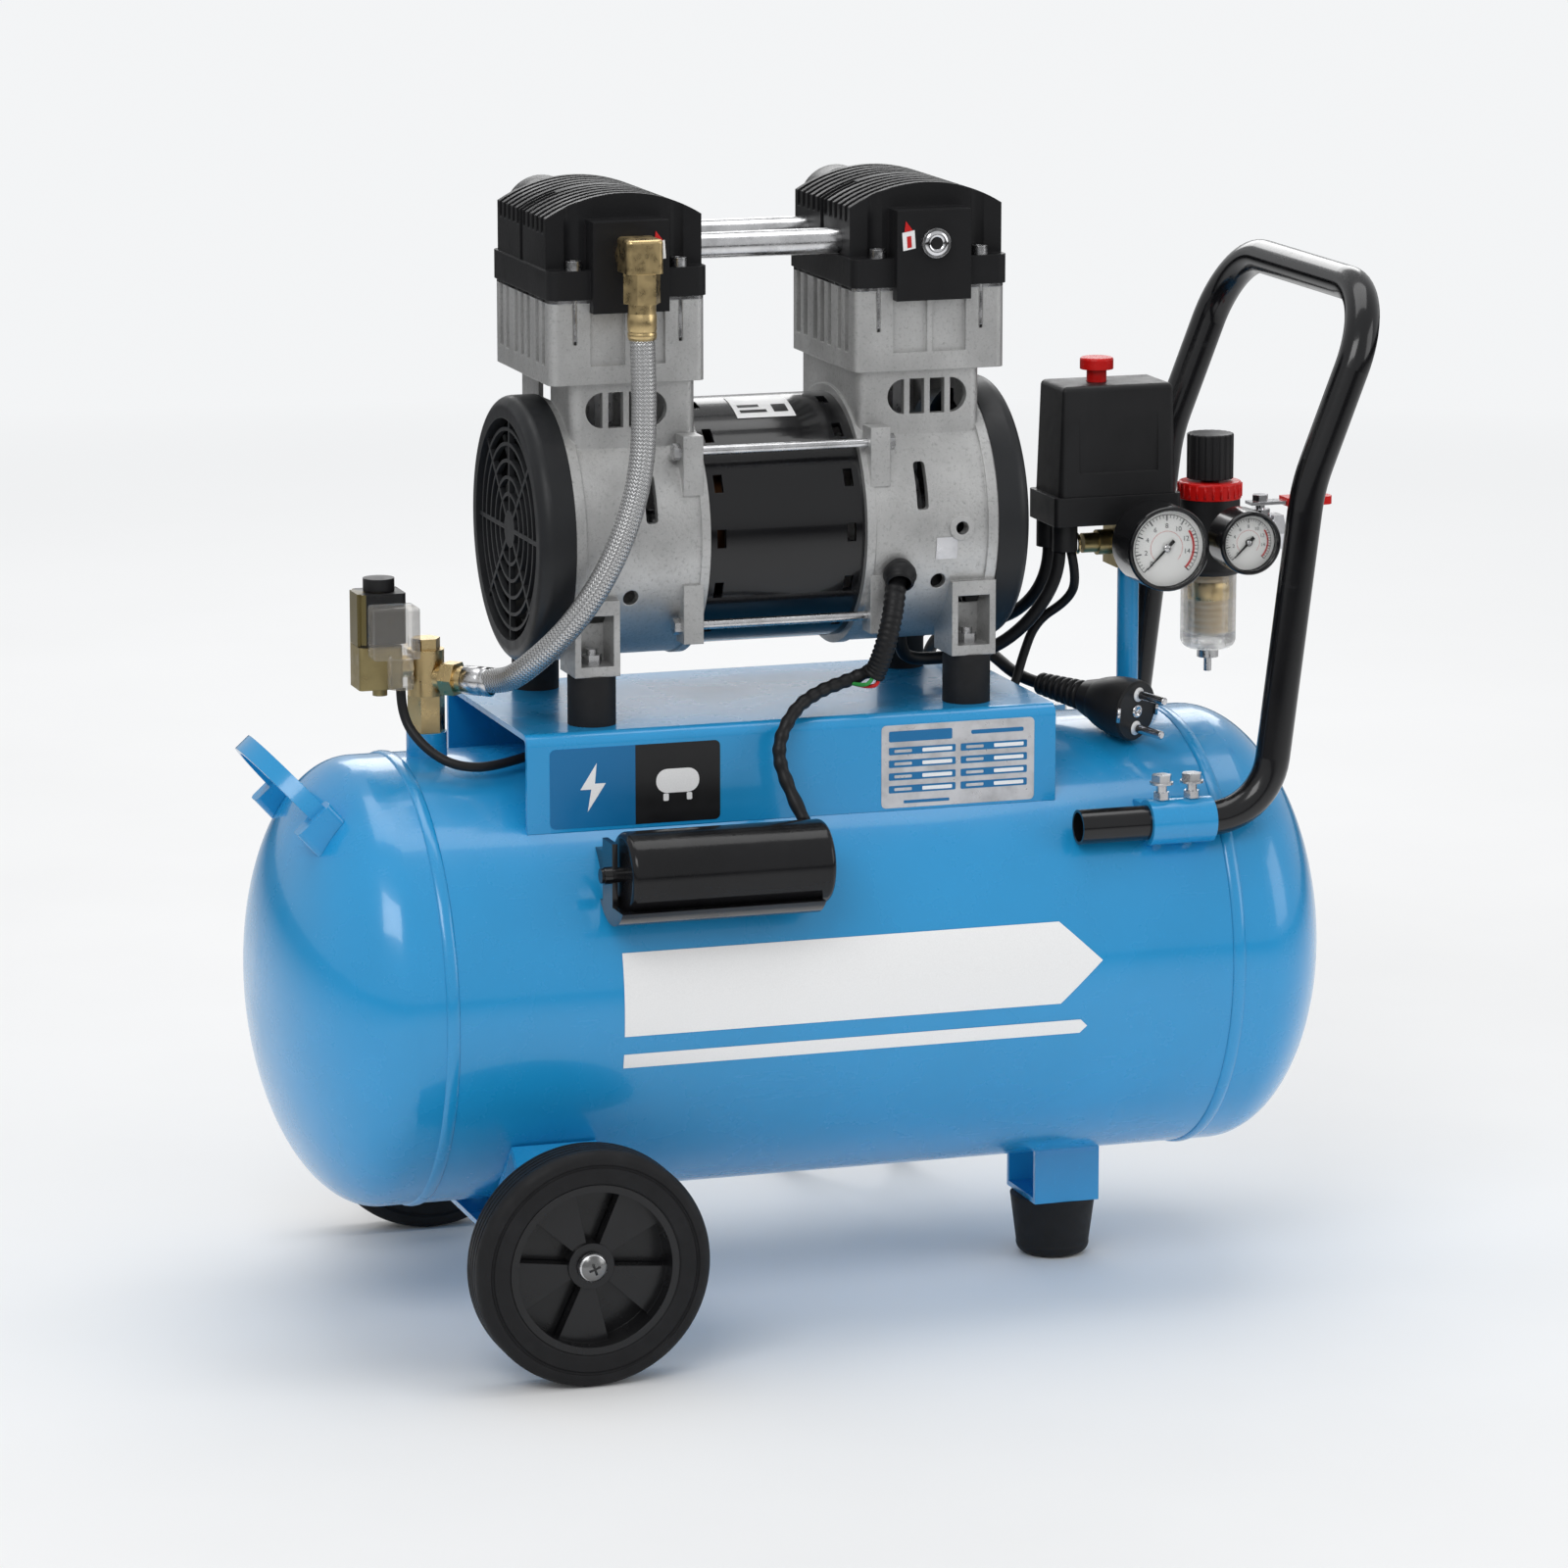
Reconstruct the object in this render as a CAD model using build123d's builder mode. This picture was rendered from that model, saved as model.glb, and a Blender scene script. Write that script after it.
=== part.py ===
"""Portable twin-piston, oil-free air compressor on a 24 litre tank.

Millimetres, +Z up, the floor at Z = 0. +X runs along the tank to the pull handle's end,
-Y is the side with the capacitor and the gauges' dials.
"""
import os
from math import cos, pi, radians, sin, sqrt, tan

from build123d import *

os.makedirs("parts", exist_ok=True)

# ---- driving dimensions ------------------------------------------------------------------
tank_x = -5.4                # middle of the tank, so that the whole object is centred on X = 0
tank_r = 122.5               # outside radius of barrel and heads
tank_z = 185.6               # height of the tank's axis
tank_wall = 2.5
barrel_half = 218.0          # middle of the tank to each circular weld
head_skirt = 21.0            # straight part of each dished head
head_depth = 60.0            # dished part of each head

saddle_x0 = tank_x - 169.0   # the folded plate that carries the pump
saddle_x1 = tank_x + 129.0
saddle_half = 81.0
saddle_top = 330.7
sheet = 3.0                  # thickness of every folded steel bracket

pump_x = tank_x - 19.5       # middle of the motor
motor_z = 428.5              # height of the motor shaft
cylinder_pitch = 169.0       # from one cylinder's axis to the other's
case_in = 44.0               # middle of the motor to a crankcase's inner edge
case_out = 118.5             # and to its outer edge
case_r = 70.0
shell_r = 66.6
guard_r = 72.0
guard_depth = 19.0
foot_offset_x = 106.0        # vibration mounts, from the middle of the motor
foot_offset_y = 55.0
mount_h = 27.0
mount_r = 13.0

block_w = 86.0               # cylinder block, along X
block_d = 108.0              # cylinder block, along Y
block_z0 = 512.5
block_z1 = 556.0
bore_r = 31.8
plate_t = 2.0                # valve plate
head_z0 = block_z1 + plate_t
flange_h = 15.5
head_w = 88.0
head_d = 112.0
head_side = 42.5             # top of the head's upright side, above head_z0
head_rise = 12.5             # how far the arch stands above that
port_z = 582.0               # outlet ports and crossover tubes

shaft_r = 7.5
running_gap = 0.05           # radial clearance of every running fit
throw = 7.0                  # offset of each eccentric
tie_y = 60.0
tie_z = 47.0

wheel_x = tank_x - 161.0
wheel_r = 64.0
wheel_w = 27.0
wheel_y = 165.0              # middle of each tyre
rim_r = 46.0
axle_r = 5.0

foot_x = tank_x + 159.5
foot_z = 34.0                # underside of the foot bracket

tube_r = 9.5                 # pull handle
handle_y = 105.0
handle_z = 267.0
handle_x0 = tank_x + 133.5   # open ends of the pull handle

switch_x = tank_x + 188.5
riser_x = tank_x + 201.2
manifold_z = 404.0
regulator_x = tank_x + 249.2
gauge_z = 409.0
gauge_y = -58.0              # plane of the dials

valve_x = tank_x - 202.2     # check valve on the tank
cord_d = 7.0

motor_axis = Axis((pump_x, 0, motor_z), (1, 0, 0))
tank_axis = Axis((tank_x, 0, tank_z), (1, 0, 0))
pump_mirror = Plane.YZ.offset(pump_x)
cylinder_xs = [pump_x - cylinder_pitch / 2, pump_x + cylinder_pitch / 2]


def cut_tank(margin=0.0):
    """Take the tank's outside away from the piece being made."""
    with Locations(Location((tank_x, 0, tank_z), (0, 90, 0))):
        Cylinder(tank_r + margin, 2 * (barrel_half + head_skirt), mode=Mode.SUBTRACT)


def x_cylinder(radius, x0, x1, y=0.0, z=0.0, mode=Mode.ADD):
    """A round bar along X from x0 to x1."""
    with Locations(Location(((x0 + x1) / 2, y, z), (0, 90, 0))):
        Cylinder(radius, x1 - x0, mode=mode)


def y_cylinder(radius, y0, y1, x=0.0, z=0.0, mode=Mode.ADD):
    """A round bar along Y from y0 to y1."""
    with Locations(Location((x, (y0 + y1) / 2, z), (90, 0, 0))):
        Cylinder(radius, y1 - y0, mode=mode)


def z_cylinder(radius, z0, z1, x=0.0, y=0.0, mode=Mode.ADD):
    """A round bar along Z from z0 to z1."""
    with Locations((x, y, (z0 + z1) / 2)):
        Cylinder(radius, z1 - z0, mode=mode)


def block(x0, x1, y0, y1, z0, z1, mode=Mode.ADD):
    """A box between two corners."""
    with Locations(((x0 + x1) / 2, (y0 + y1) / 2, (z0 + z1) / 2)):
        Box(x1 - x0, y1 - y0, z1 - z0, mode=mode)


def hex_bar(across_flats, z0, z1, x=0.0, y=0.0, mode=Mode.ADD):
    """An upright hexagonal bar."""
    with BuildSketch(Plane.XY.offset(z0)) as hexagon:
        with Locations((x, y)):
            RegularPolygon(across_flats / sqrt(3), 6)
    extrude(hexagon.sketch, amount=z1 - z0, mode=mode)


def turned_tube(points, radius, label):
    """A round lead along straight runs joined by tangent arcs. Prints its radii and volume."""
    corners = [Vector(*point) for point in points]
    radii = []
    for before, here, after in zip(corners, corners[1:], corners[2:]):
        run_in = here - before
        run_out = after - here
        turn = radians(run_in.get_angle(run_out))
        radii.append(0.45 * min(run_in.length, run_out.length) / tan(turn / 2))
    with BuildPart() as lead:
        with BuildLine() as route:
            FilletPolyline(*points, radius=radii)
        start = Plane(origin=route.line @ 0, z_dir=route.line % 0)
        with BuildSketch(start):
            Circle(radius)
        sweep(path=route.line)
    length = sum(edge.length for edge in route.line.edges())
    ratio = lead.part.volume / (pi * radius**2 * length)
    print(label, "length", round(length, 1), "volume ratio", round(ratio, 4))
    print("   radii", [round(r) for r in radii])
    return lead.part


# ---- tank --------------------------------------------------------------------------------
port_r = 11.0
drain_x = tank_x + 20.0
drain_tilt = 25.0            # the drain sits this far round from the bottom, toward the back
drain_dir = (0, sin(radians(drain_tilt)), -cos(radians(drain_tilt)))
drain_plane = Plane(origin=(drain_x, 0, tank_z), x_dir=(1, 0, 0), z_dir=drain_dir)

with BuildPart() as tank_barrel:
    x_cylinder(tank_r, tank_x - barrel_half, tank_x + barrel_half, 0, tank_z)
    z_cylinder(port_r, tank_z, 321.0, valve_x)
    z_cylinder(port_r, tank_z, 318.0, riser_x)
    with BuildSketch(drain_plane):
        Circle(port_r)
    extrude(amount=tank_r + 5.5)
    x_cylinder(tank_r - tank_wall, tank_x - barrel_half, tank_x + barrel_half, 0, tank_z, Mode.SUBTRACT)
    z_cylinder(6.0, tank_z, 330.0, valve_x, 0, Mode.SUBTRACT)
    z_cylinder(6.0, tank_z, 330.0, riser_x, 0, Mode.SUBTRACT)
    with BuildSketch(drain_plane):
        Circle(4.0)
    extrude(amount=tank_r + 8, mode=Mode.SUBTRACT)
tank_barrel.part.label = "tank_barrel"
export_step(tank_barrel.part, "parts/tank_barrel.step")

tank_plane = Plane(origin=(tank_x, 0, tank_z), x_dir=(1, 0, 0), z_dir=(0, -1, 0))
skirt_end = barrel_half + head_skirt
inner_r = tank_r - tank_wall

with BuildPart() as tank_heads:
    with BuildSketch(tank_plane):
        with BuildLine():
            Line((barrel_half, tank_r), (skirt_end, tank_r))
            EllipticalCenterArc((skirt_end, 0), head_depth, tank_r, start_angle=0, arc_size=90)
            Line((skirt_end + head_depth, 0), (skirt_end + head_depth - tank_wall, 0))
            EllipticalCenterArc((skirt_end, 0), head_depth - tank_wall, inner_r, start_angle=0, arc_size=90)
            Line((skirt_end, inner_r), (barrel_half, inner_r))
            Line((barrel_half, inner_r), (barrel_half, tank_r))
        make_face()
        with Locations((barrel_half + 3.6, tank_r)):
            Ellipse(3.5, 1.3)
    revolve(axis=tank_axis)
    mirror(about=Plane.YZ.offset(tank_x))
tank_heads.part.label = "tank_heads"
export_step(tank_heads.part, "parts/tank_heads.step")

drain_z = tank_z - tank_r - 5.5
with BuildPart() as drain_valve:
    hex_bar(14, drain_z - 7, drain_z, drain_x)
    z_cylinder(6, drain_z - 15, drain_z - 7, drain_x)
    z_cylinder(3.9, drain_z, drain_z + 8, drain_x)
    x_cylinder(2.2, drain_x, drain_x + 18, 0, drain_z - 11)
    x_cylinder(5, drain_x + 18, drain_x + 23, 0, drain_z - 11)
drain_valve_part = drain_valve.part.rotate(tank_axis, drain_tilt)
drain_valve_part.label = "drain_valve"
export_step(drain_valve_part, "parts/drain_valve.step")

# ---- motor saddle: a folded plate, open at both ends --------------------------------------
mount_spots = [
    (pump_x + sx * foot_offset_x, sy * foot_offset_y) for sx in (-1, 1) for sy in (-1, 1)
]

with BuildPart() as motor_saddle:
    with BuildSketch(Plane.YZ.offset(saddle_x0)):
        with Locations((0, saddle_top - 30)):
            Rectangle(2 * saddle_half, 60)
        fillet(vertices().group_by(Axis.Y)[-1], radius=6)
    extrude(amount=saddle_x1 - saddle_x0)
    with BuildSketch(Plane.YZ.offset(saddle_x0)):
        with Locations((0, saddle_top - sheet - 30)):
            Rectangle(2 * (saddle_half - sheet), 60)
        fillet(vertices().group_by(Axis.Y)[-1], radius=3)
    extrude(amount=saddle_x1 - saddle_x0, mode=Mode.SUBTRACT)
    cut_tank()
    for x, y in mount_spots:
        z_cylinder(3.2, saddle_top - 2 * sheet, saddle_top + 1, x, y, Mode.SUBTRACT)
motor_saddle.part.label = "motor_saddle"
export_step(motor_saddle.part, "parts/motor_saddle.step")

# ---- lift handle on the dome --------------------------------------------------------------
bow_tilt = 48.0              # how far the bow leans up from horizontal
bow_out = 44.0
bow_half = 50.0
strap_t = 4.0
strap_w = 10.0
bow_foot = Vector(tank_x - 272.5, 0, 287.0)
bow_dir = Vector(-cos(radians(bow_tilt)), 0, sin(radians(bow_tilt)))
bow_plane = Plane(origin=bow_foot, x_dir=(0, 1, 0), z_dir=bow_dir.cross(Vector(0, 1, 0)))
bow_sign = 1 if bow_plane.y_dir.dot(bow_dir) > 0 else -1

with BuildPart() as lift_handle:
    with BuildSketch(bow_plane):
        with BuildLine():
            outer = EllipticalCenterArc((0, 0), bow_half, bow_out, start_angle=0, arc_size=180)
            Line(outer @ 0, outer @ 1)
        make_face()
        with BuildLine():
            inner = EllipticalCenterArc((0, 0), bow_half - strap_t, bow_out - strap_t, start_angle=0, arc_size=180)
            Line(inner @ 0, inner @ 1)
        make_face(mode=Mode.SUBTRACT)
        if bow_sign < 0:
            mirror(about=Plane.XZ, mode=Mode.REPLACE)
    extrude(amount=strap_w / 2, both=True)
    for side in (-1, 1):
        tab = Plane(origin=bow_foot + Vector(0, side * (bow_half - strap_t / 2), 0), x_dir=(0, 1, 0), z_dir=bow_dir)
        with BuildSketch(tab.offset(-14)):
            with Locations((0, 4 if tab.y_dir.Z < 0 else -4)):
                RectangleRounded(12, 24, 3)
        extrude(amount=18)
    with BuildSketch(tank_plane):
        with BuildLine():
            dome = EllipticalCenterArc((-skirt_end, 0), head_depth, tank_r, start_angle=90, arc_size=90)
            Polyline(dome @ 0, (0, tank_r), (0, 0), dome @ 1)
        make_face()
    revolve(axis=tank_axis, mode=Mode.SUBTRACT)
lift_handle.part.label = "lift_handle"
export_step(lift_handle.part, "parts/lift_handle.step")

# ---- wheels, axle bolts and their bracket -------------------------------------------------
bracket_half = 23.5          # half of the wheel bracket's length along X
bracket_y = 139.0            # inner face of each upright ear
wheel_z = wheel_r

with BuildPart() as wheel_bracket:
    with BuildSketch(Plane.YZ.offset(wheel_x - bracket_half)):
        with BuildLine():
            Polyline((-bracket_y, 38), (-bracket_y, 84), (-100, 113), (-90, 105), (-60, 70), (-40, 54), (40, 54))
            Polyline((40, 54), (60, 70), (90, 105), (100, 113), (bracket_y, 84), (bracket_y, 38))
            Polyline((bracket_y, 38), (bracket_y - sheet, 38), (bracket_y - sheet, 82), (98, 109), (92, 102))
            Polyline((92, 102), (62, 67), (41, 51), (-41, 51), (-62, 67), (-92, 102))
            Polyline((-92, 102), (-98, 109), (-bracket_y + sheet, 82), (-bracket_y + sheet, 38), (-bracket_y, 38))
        make_face()
    extrude(amount=2 * bracket_half)
    cut_tank()
    y_cylinder(axle_r + 0.1, -bracket_y - 1, bracket_y + 1, wheel_x, wheel_z, Mode.SUBTRACT)
wheel_bracket.part.label = "wheel_bracket"
export_step(wheel_bracket.part, "parts/wheel_bracket.step")

hub_in = wheel_y - wheel_w / 2 - 2.0     # inner face of each hub
hub_out = wheel_y + 5.0                  # outer face of each hub

with BuildPart() as axle_bolts:
    for side in (-1, 1):
        ends = sorted((side * (bracket_y - 12), side * (hub_out + 0.5)))
        y_cylinder(axle_r, ends[0], ends[1], wheel_x, wheel_z)
        head_ends = sorted((side * (hub_out + 0.5), side * (hub_out + 4.5)))
        y_cylinder(8.0, head_ends[0], head_ends[1], wheel_x, wheel_z)
        nut_plane = Plane(origin=(wheel_x, side * (bracket_y - sheet), wheel_z), z_dir=(0, -side, 0))
        with BuildSketch(nut_plane):
            RegularPolygon(16 / sqrt(3), 6)
        extrude(amount=7)
        collar_plane = Plane(origin=(wheel_x, side * bracket_y, wheel_z), z_dir=(0, side, 0))
        with BuildSketch(collar_plane):
            Circle(8)
        extrude(amount=hub_in - bracket_y - 0.4)
    fillet(edges().filter_by(GeomType.CIRCLE).group_by(Axis.Y)[0], radius=2.5)
    fillet(edges().filter_by(GeomType.CIRCLE).group_by(Axis.Y)[-1], radius=2.5)
axle_bolts.part.label = "axle_bolts"
export_step(axle_bolts.part, "parts/axle_bolts.step")


def tyre(side):
    """A moulded tyre with a grooved tread, standing on the rim's bed."""
    wheel_plane = Plane(origin=(wheel_x, side * wheel_y, wheel_z), x_dir=(0, side, 0), z_dir=(1, 0, 0))
    spin_axis = Axis((wheel_x, 0, wheel_z), (0, 1, 0))
    half = wheel_w / 2
    with BuildPart() as made:
        with BuildSketch(wheel_plane):
            with Locations((0, (wheel_r + rim_r) / 2)):
                Rectangle(wheel_w, wheel_r - rim_r)
            fillet(vertices().group_by(Axis.Y)[-1], radius=6)
            fillet(vertices().group_by(Axis.Y)[0], radius=1.5)
            with Locations([(u, wheel_r) for u in (-6, -2, 2, 6)]):
                Rectangle(1.2, 2.4, mode=Mode.SUBTRACT)
            with Locations((half, (wheel_r + rim_r) / 2 + 1), (-half, (wheel_r + rim_r) / 2 + 1)):
                Circle(1.0, mode=Mode.SUBTRACT)
        revolve(axis=spin_axis)
    return made.part


def rim(side):
    """A moulded rim: bed, five raised panels with gaps between them, and a hub."""
    gap_corner = (rim_r * cos(radians(17)) + 4, (rim_r + 4) * sin(radians(17)))
    gap_start = 84 if side < 0 else 96
    wheel_plane = Plane(origin=(wheel_x, side * wheel_y, wheel_z), x_dir=(0, side, 0), z_dir=(1, 0, 0))
    spin_axis = Axis((wheel_x, 0, wheel_z), (0, 1, 0))
    face_plane = Plane(origin=(wheel_x, side * (wheel_y - 4), wheel_z), x_dir=(1, 0, 0), z_dir=(0, side, 0))
    with BuildPart() as made:
        with BuildSketch(wheel_plane):
            with Locations((0, rim_r - 2)):
                Rectangle(wheel_w - 1, 4)
            with Locations((-7, (rim_r + 12) / 2)):
                Rectangle(3, rim_r - 13)
            with Locations(((5 - (2 + wheel_w / 2)) / 2, (12.5 + axle_r) / 2)):
                Rectangle(7 + wheel_w / 2, 12.5 - axle_r - running_gap)
        revolve(axis=spin_axis)
        with BuildSketch(face_plane):
            Circle(rim_r - 3)
            Circle(11, mode=Mode.SUBTRACT)
            with PolarLocations(0, 5, start_angle=gap_start):
                Polygon((0, 0), gap_corner, (gap_corner[0], -gap_corner[1]), align=None, mode=Mode.SUBTRACT)
        extrude(amount=7.5)
        y_cylinder(axle_r + running_gap, -200, 200, wheel_x, wheel_z, Mode.SUBTRACT)
    return made.part


for side, which in ((-1, "front"), (1, "back")):
    tyre_part = tyre(side)
    tyre_part.label = which + "_tyre"
    export_step(tyre_part, "parts/" + which + "_tyre.step")
    rim_part = rim(side)
    rim_part.label = which + "_rim"
    export_step(rim_part, "parts/" + which + "_rim.step")

# ---- foot --------------------------------------------------------------------------------
foot_half_x = 19.0
foot_half_y = 23.0

with BuildPart() as foot_bracket:
    block(foot_x - foot_half_x, foot_x + foot_half_x, -foot_half_y, foot_half_y, foot_z, 80)
    inside_y = foot_half_y - sheet
    block(foot_x - 30, foot_x + 30, -inside_y, inside_y, foot_z + sheet, 80, Mode.SUBTRACT)
    cut_tank()
    z_cylinder(4.2, foot_z - 1, foot_z + 5, foot_x, 0, Mode.SUBTRACT)
foot_bracket.part.label = "foot_bracket"
export_step(foot_bracket.part, "parts/foot_bracket.step")

with BuildPart() as rubber_foot:
    with BuildSketch(Plane.XZ):
        with BuildLine():
            Polyline((0, 0), (15, 0))
            ThreePointArc((15, 0), (19.2, 2.2), (20.5, 7))
            Polyline((20.5, 7), (24, foot_z), (4, foot_z), (4, foot_z + sheet + 5), (0, foot_z + sheet + 5), (0, 0))
        make_face()
    revolve(axis=Axis.Z)
rubber_foot_part = rubber_foot.part.moved(Location((foot_x, 0, 0)))
rubber_foot_part.label = "rubber_foot"
export_step(rubber_foot_part, "parts/rubber_foot.step")

# ---- pull handle and its clamps -----------------------------------------------------------
leg_corner = tank_x + 242.3
leg_bend = (tank_x + 264.5, 447.0)
bar_corner = (tank_x + 304.5, 551.0)
clamp_x0 = tank_x + 173.0
clamp_x1 = tank_x + 210.0
clamp_r = tube_r + 3.0
clamp_bolts_x = [clamp_x0 + 8.5, clamp_x1 - 11.0]
bolt_r = 3.0

handle_half = [
    (handle_x0, handle_y, handle_z),
    (leg_corner, handle_y, handle_z),
    (leg_bend[0], handle_y, leg_bend[1]),
    (bar_corner[0], handle_y, bar_corner[1]),
]
handle_points = [(x, -y, z) for x, y, z in handle_half] + handle_half[::-1]

with BuildPart() as pull_handle:
    with BuildLine() as handle_path:
        FilletPolyline(*handle_points, radius=[36, 110, 44, 44, 110, 36])
    with BuildSketch(Plane(origin=handle_path.line @ 0, z_dir=handle_path.line % 0)):
        Circle(tube_r)
        Circle(tube_r - 1.5, mode=Mode.SUBTRACT)
    sweep(path=handle_path.line)
    for x in clamp_bolts_x:
        for side in (-1, 1):
            z_cylinder(bolt_r + 0.1, handle_z - 20, handle_z + 20, x, side * handle_y, Mode.SUBTRACT)
pull_handle.part.label = "pull_handle"
export_step(pull_handle.part, "parts/pull_handle.step")

with BuildPart() as handle_clamps:
    for side in (-1, 1):
        x_cylinder(clamp_r, clamp_x0, clamp_x1, side * handle_y, handle_z)
        near, far = sorted((side * 84, side * handle_y))
        block(clamp_x0, clamp_x1, near, far, handle_z - 9, handle_z + 9)
    for side in (-1, 1):
        x_cylinder(tube_r, clamp_x0, clamp_x1, side * handle_y, handle_z, Mode.SUBTRACT)
        for x in clamp_bolts_x:
            z_cylinder(bolt_r + 0.1, handle_z - 20, handle_z + 20, x, side * handle_y, Mode.SUBTRACT)
    cut_tank()
handle_clamps.part.label = "handle_clamps"
export_step(handle_clamps.part, "parts/handle_clamps.step")

# ---- motor -------------------------------------------------------------------------------
with BuildPart() as motor_shell:
    x_cylinder(shell_r, pump_x - case_in, pump_x + case_in, 0, motor_z)
    x_cylinder(shell_r - 3, pump_x - case_in, pump_x + case_in, 0, motor_z, Mode.SUBTRACT)
    for end in (-1, 1):
        for step in range(14):
            turn = (step + 0.5) * 360 / 14
            with Locations(Location((pump_x + end * (case_in - 7.5), 0, motor_z), (turn, 0, 0))):
                with Locations((0, 0, shell_r)):
                    Box(5, 10, 12, mode=Mode.SUBTRACT)
motor_shell.part.label = "motor_shell"
export_step(motor_shell.part, "parts/motor_shell.step")

stack_half = 25.0
rotor_r = 35.5
air_gap = 0.5

with BuildPart() as stator:
    x_cylinder(shell_r - 3, pump_x - stack_half, pump_x + stack_half, 0, motor_z)
    x_cylinder(rotor_r + air_gap, pump_x - stack_half, pump_x + stack_half, 0, motor_z, Mode.SUBTRACT)
    for end in (-1, 1):
        ends = sorted((pump_x + end * stack_half, pump_x + end * (stack_half + 10)))
        x_cylinder(54, ends[0], ends[1], 0, motor_z)
        x_cylinder(40, ends[0], ends[1], 0, motor_z, Mode.SUBTRACT)
stator.part.label = "stator"
export_step(stator.part, "parts/stator.step")

with BuildPart() as rotor_core:
    x_cylinder(rotor_r, pump_x - stack_half - 1, pump_x + stack_half + 1, 0, motor_z)
    x_cylinder(shaft_r, pump_x - stack_half - 2, pump_x + stack_half + 2, 0, motor_z, Mode.SUBTRACT)
rotor_core.part.label = "rotor_core"
export_step(rotor_core.part, "parts/rotor_core.step")

shaft_half = 128.0
eccentric_r = 16.0
eccentric_half = 6.0

with BuildPart() as rotor_shaft:
    x_cylinder(shaft_r, pump_x - shaft_half, pump_x + shaft_half, 0, motor_z)
    for x, side in zip(cylinder_xs, (1, -1)):
        x_cylinder(eccentric_r, x - eccentric_half, x + eccentric_half, 0, motor_z + side * throw)
rotor_shaft.part.label = "rotor_shaft"
export_step(rotor_shaft.part, "parts/rotor_shaft.step")

bearing_r = 17.5

with BuildPart() as shaft_bearings:
    for end in (-1, 1):
        ends = sorted((pump_x + end * (case_in + 0.5), pump_x + end * (case_in + 11.5)))
        x_cylinder(bearing_r, ends[0], ends[1], 0, motor_z)
        x_cylinder(shaft_r + running_gap, ends[0], ends[1], 0, motor_z, Mode.SUBTRACT)
shaft_bearings.part.label = "shaft_bearings"
export_step(shaft_bearings.part, "parts/shaft_bearings.step")

fan_r = 56.0
blades = 9

with BuildPart() as cooling_fans:
    for end in (-1, 1):
        fan_x = pump_x + end * 122.5
        x_cylinder(14, fan_x - 5.5, fan_x + 5.5, 0, motor_z)
        for blade in range(blades):
            spot = Location((fan_x, 0, motor_z), (blade * 360 / blades, 0, 0))
            with Locations(spot):
                with Locations(Location((0, 0, (fan_r + 12) / 2), (0, 0, 52 * end))):
                    Box(2, 17, fan_r - 12)
        x_cylinder(shaft_r, fan_x - 20, fan_x + 20, 0, motor_z, Mode.SUBTRACT)
cooling_fans.part.label = "cooling_fans"
export_step(cooling_fans.part, "parts/cooling_fans.step")

# ---- crankcases: one casting and its mirror image ------------------------------------------
case_x0 = pump_x - case_out
case_x1 = pump_x - case_in
neck_x0 = tank_x - 134.5
neck_x1 = tank_x - 65.0
neck_half = 50.0
cylinder_left = cylinder_xs[0]
foot_left = pump_x - foot_offset_x
foot_top = saddle_top + mount_h + 5.5

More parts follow.
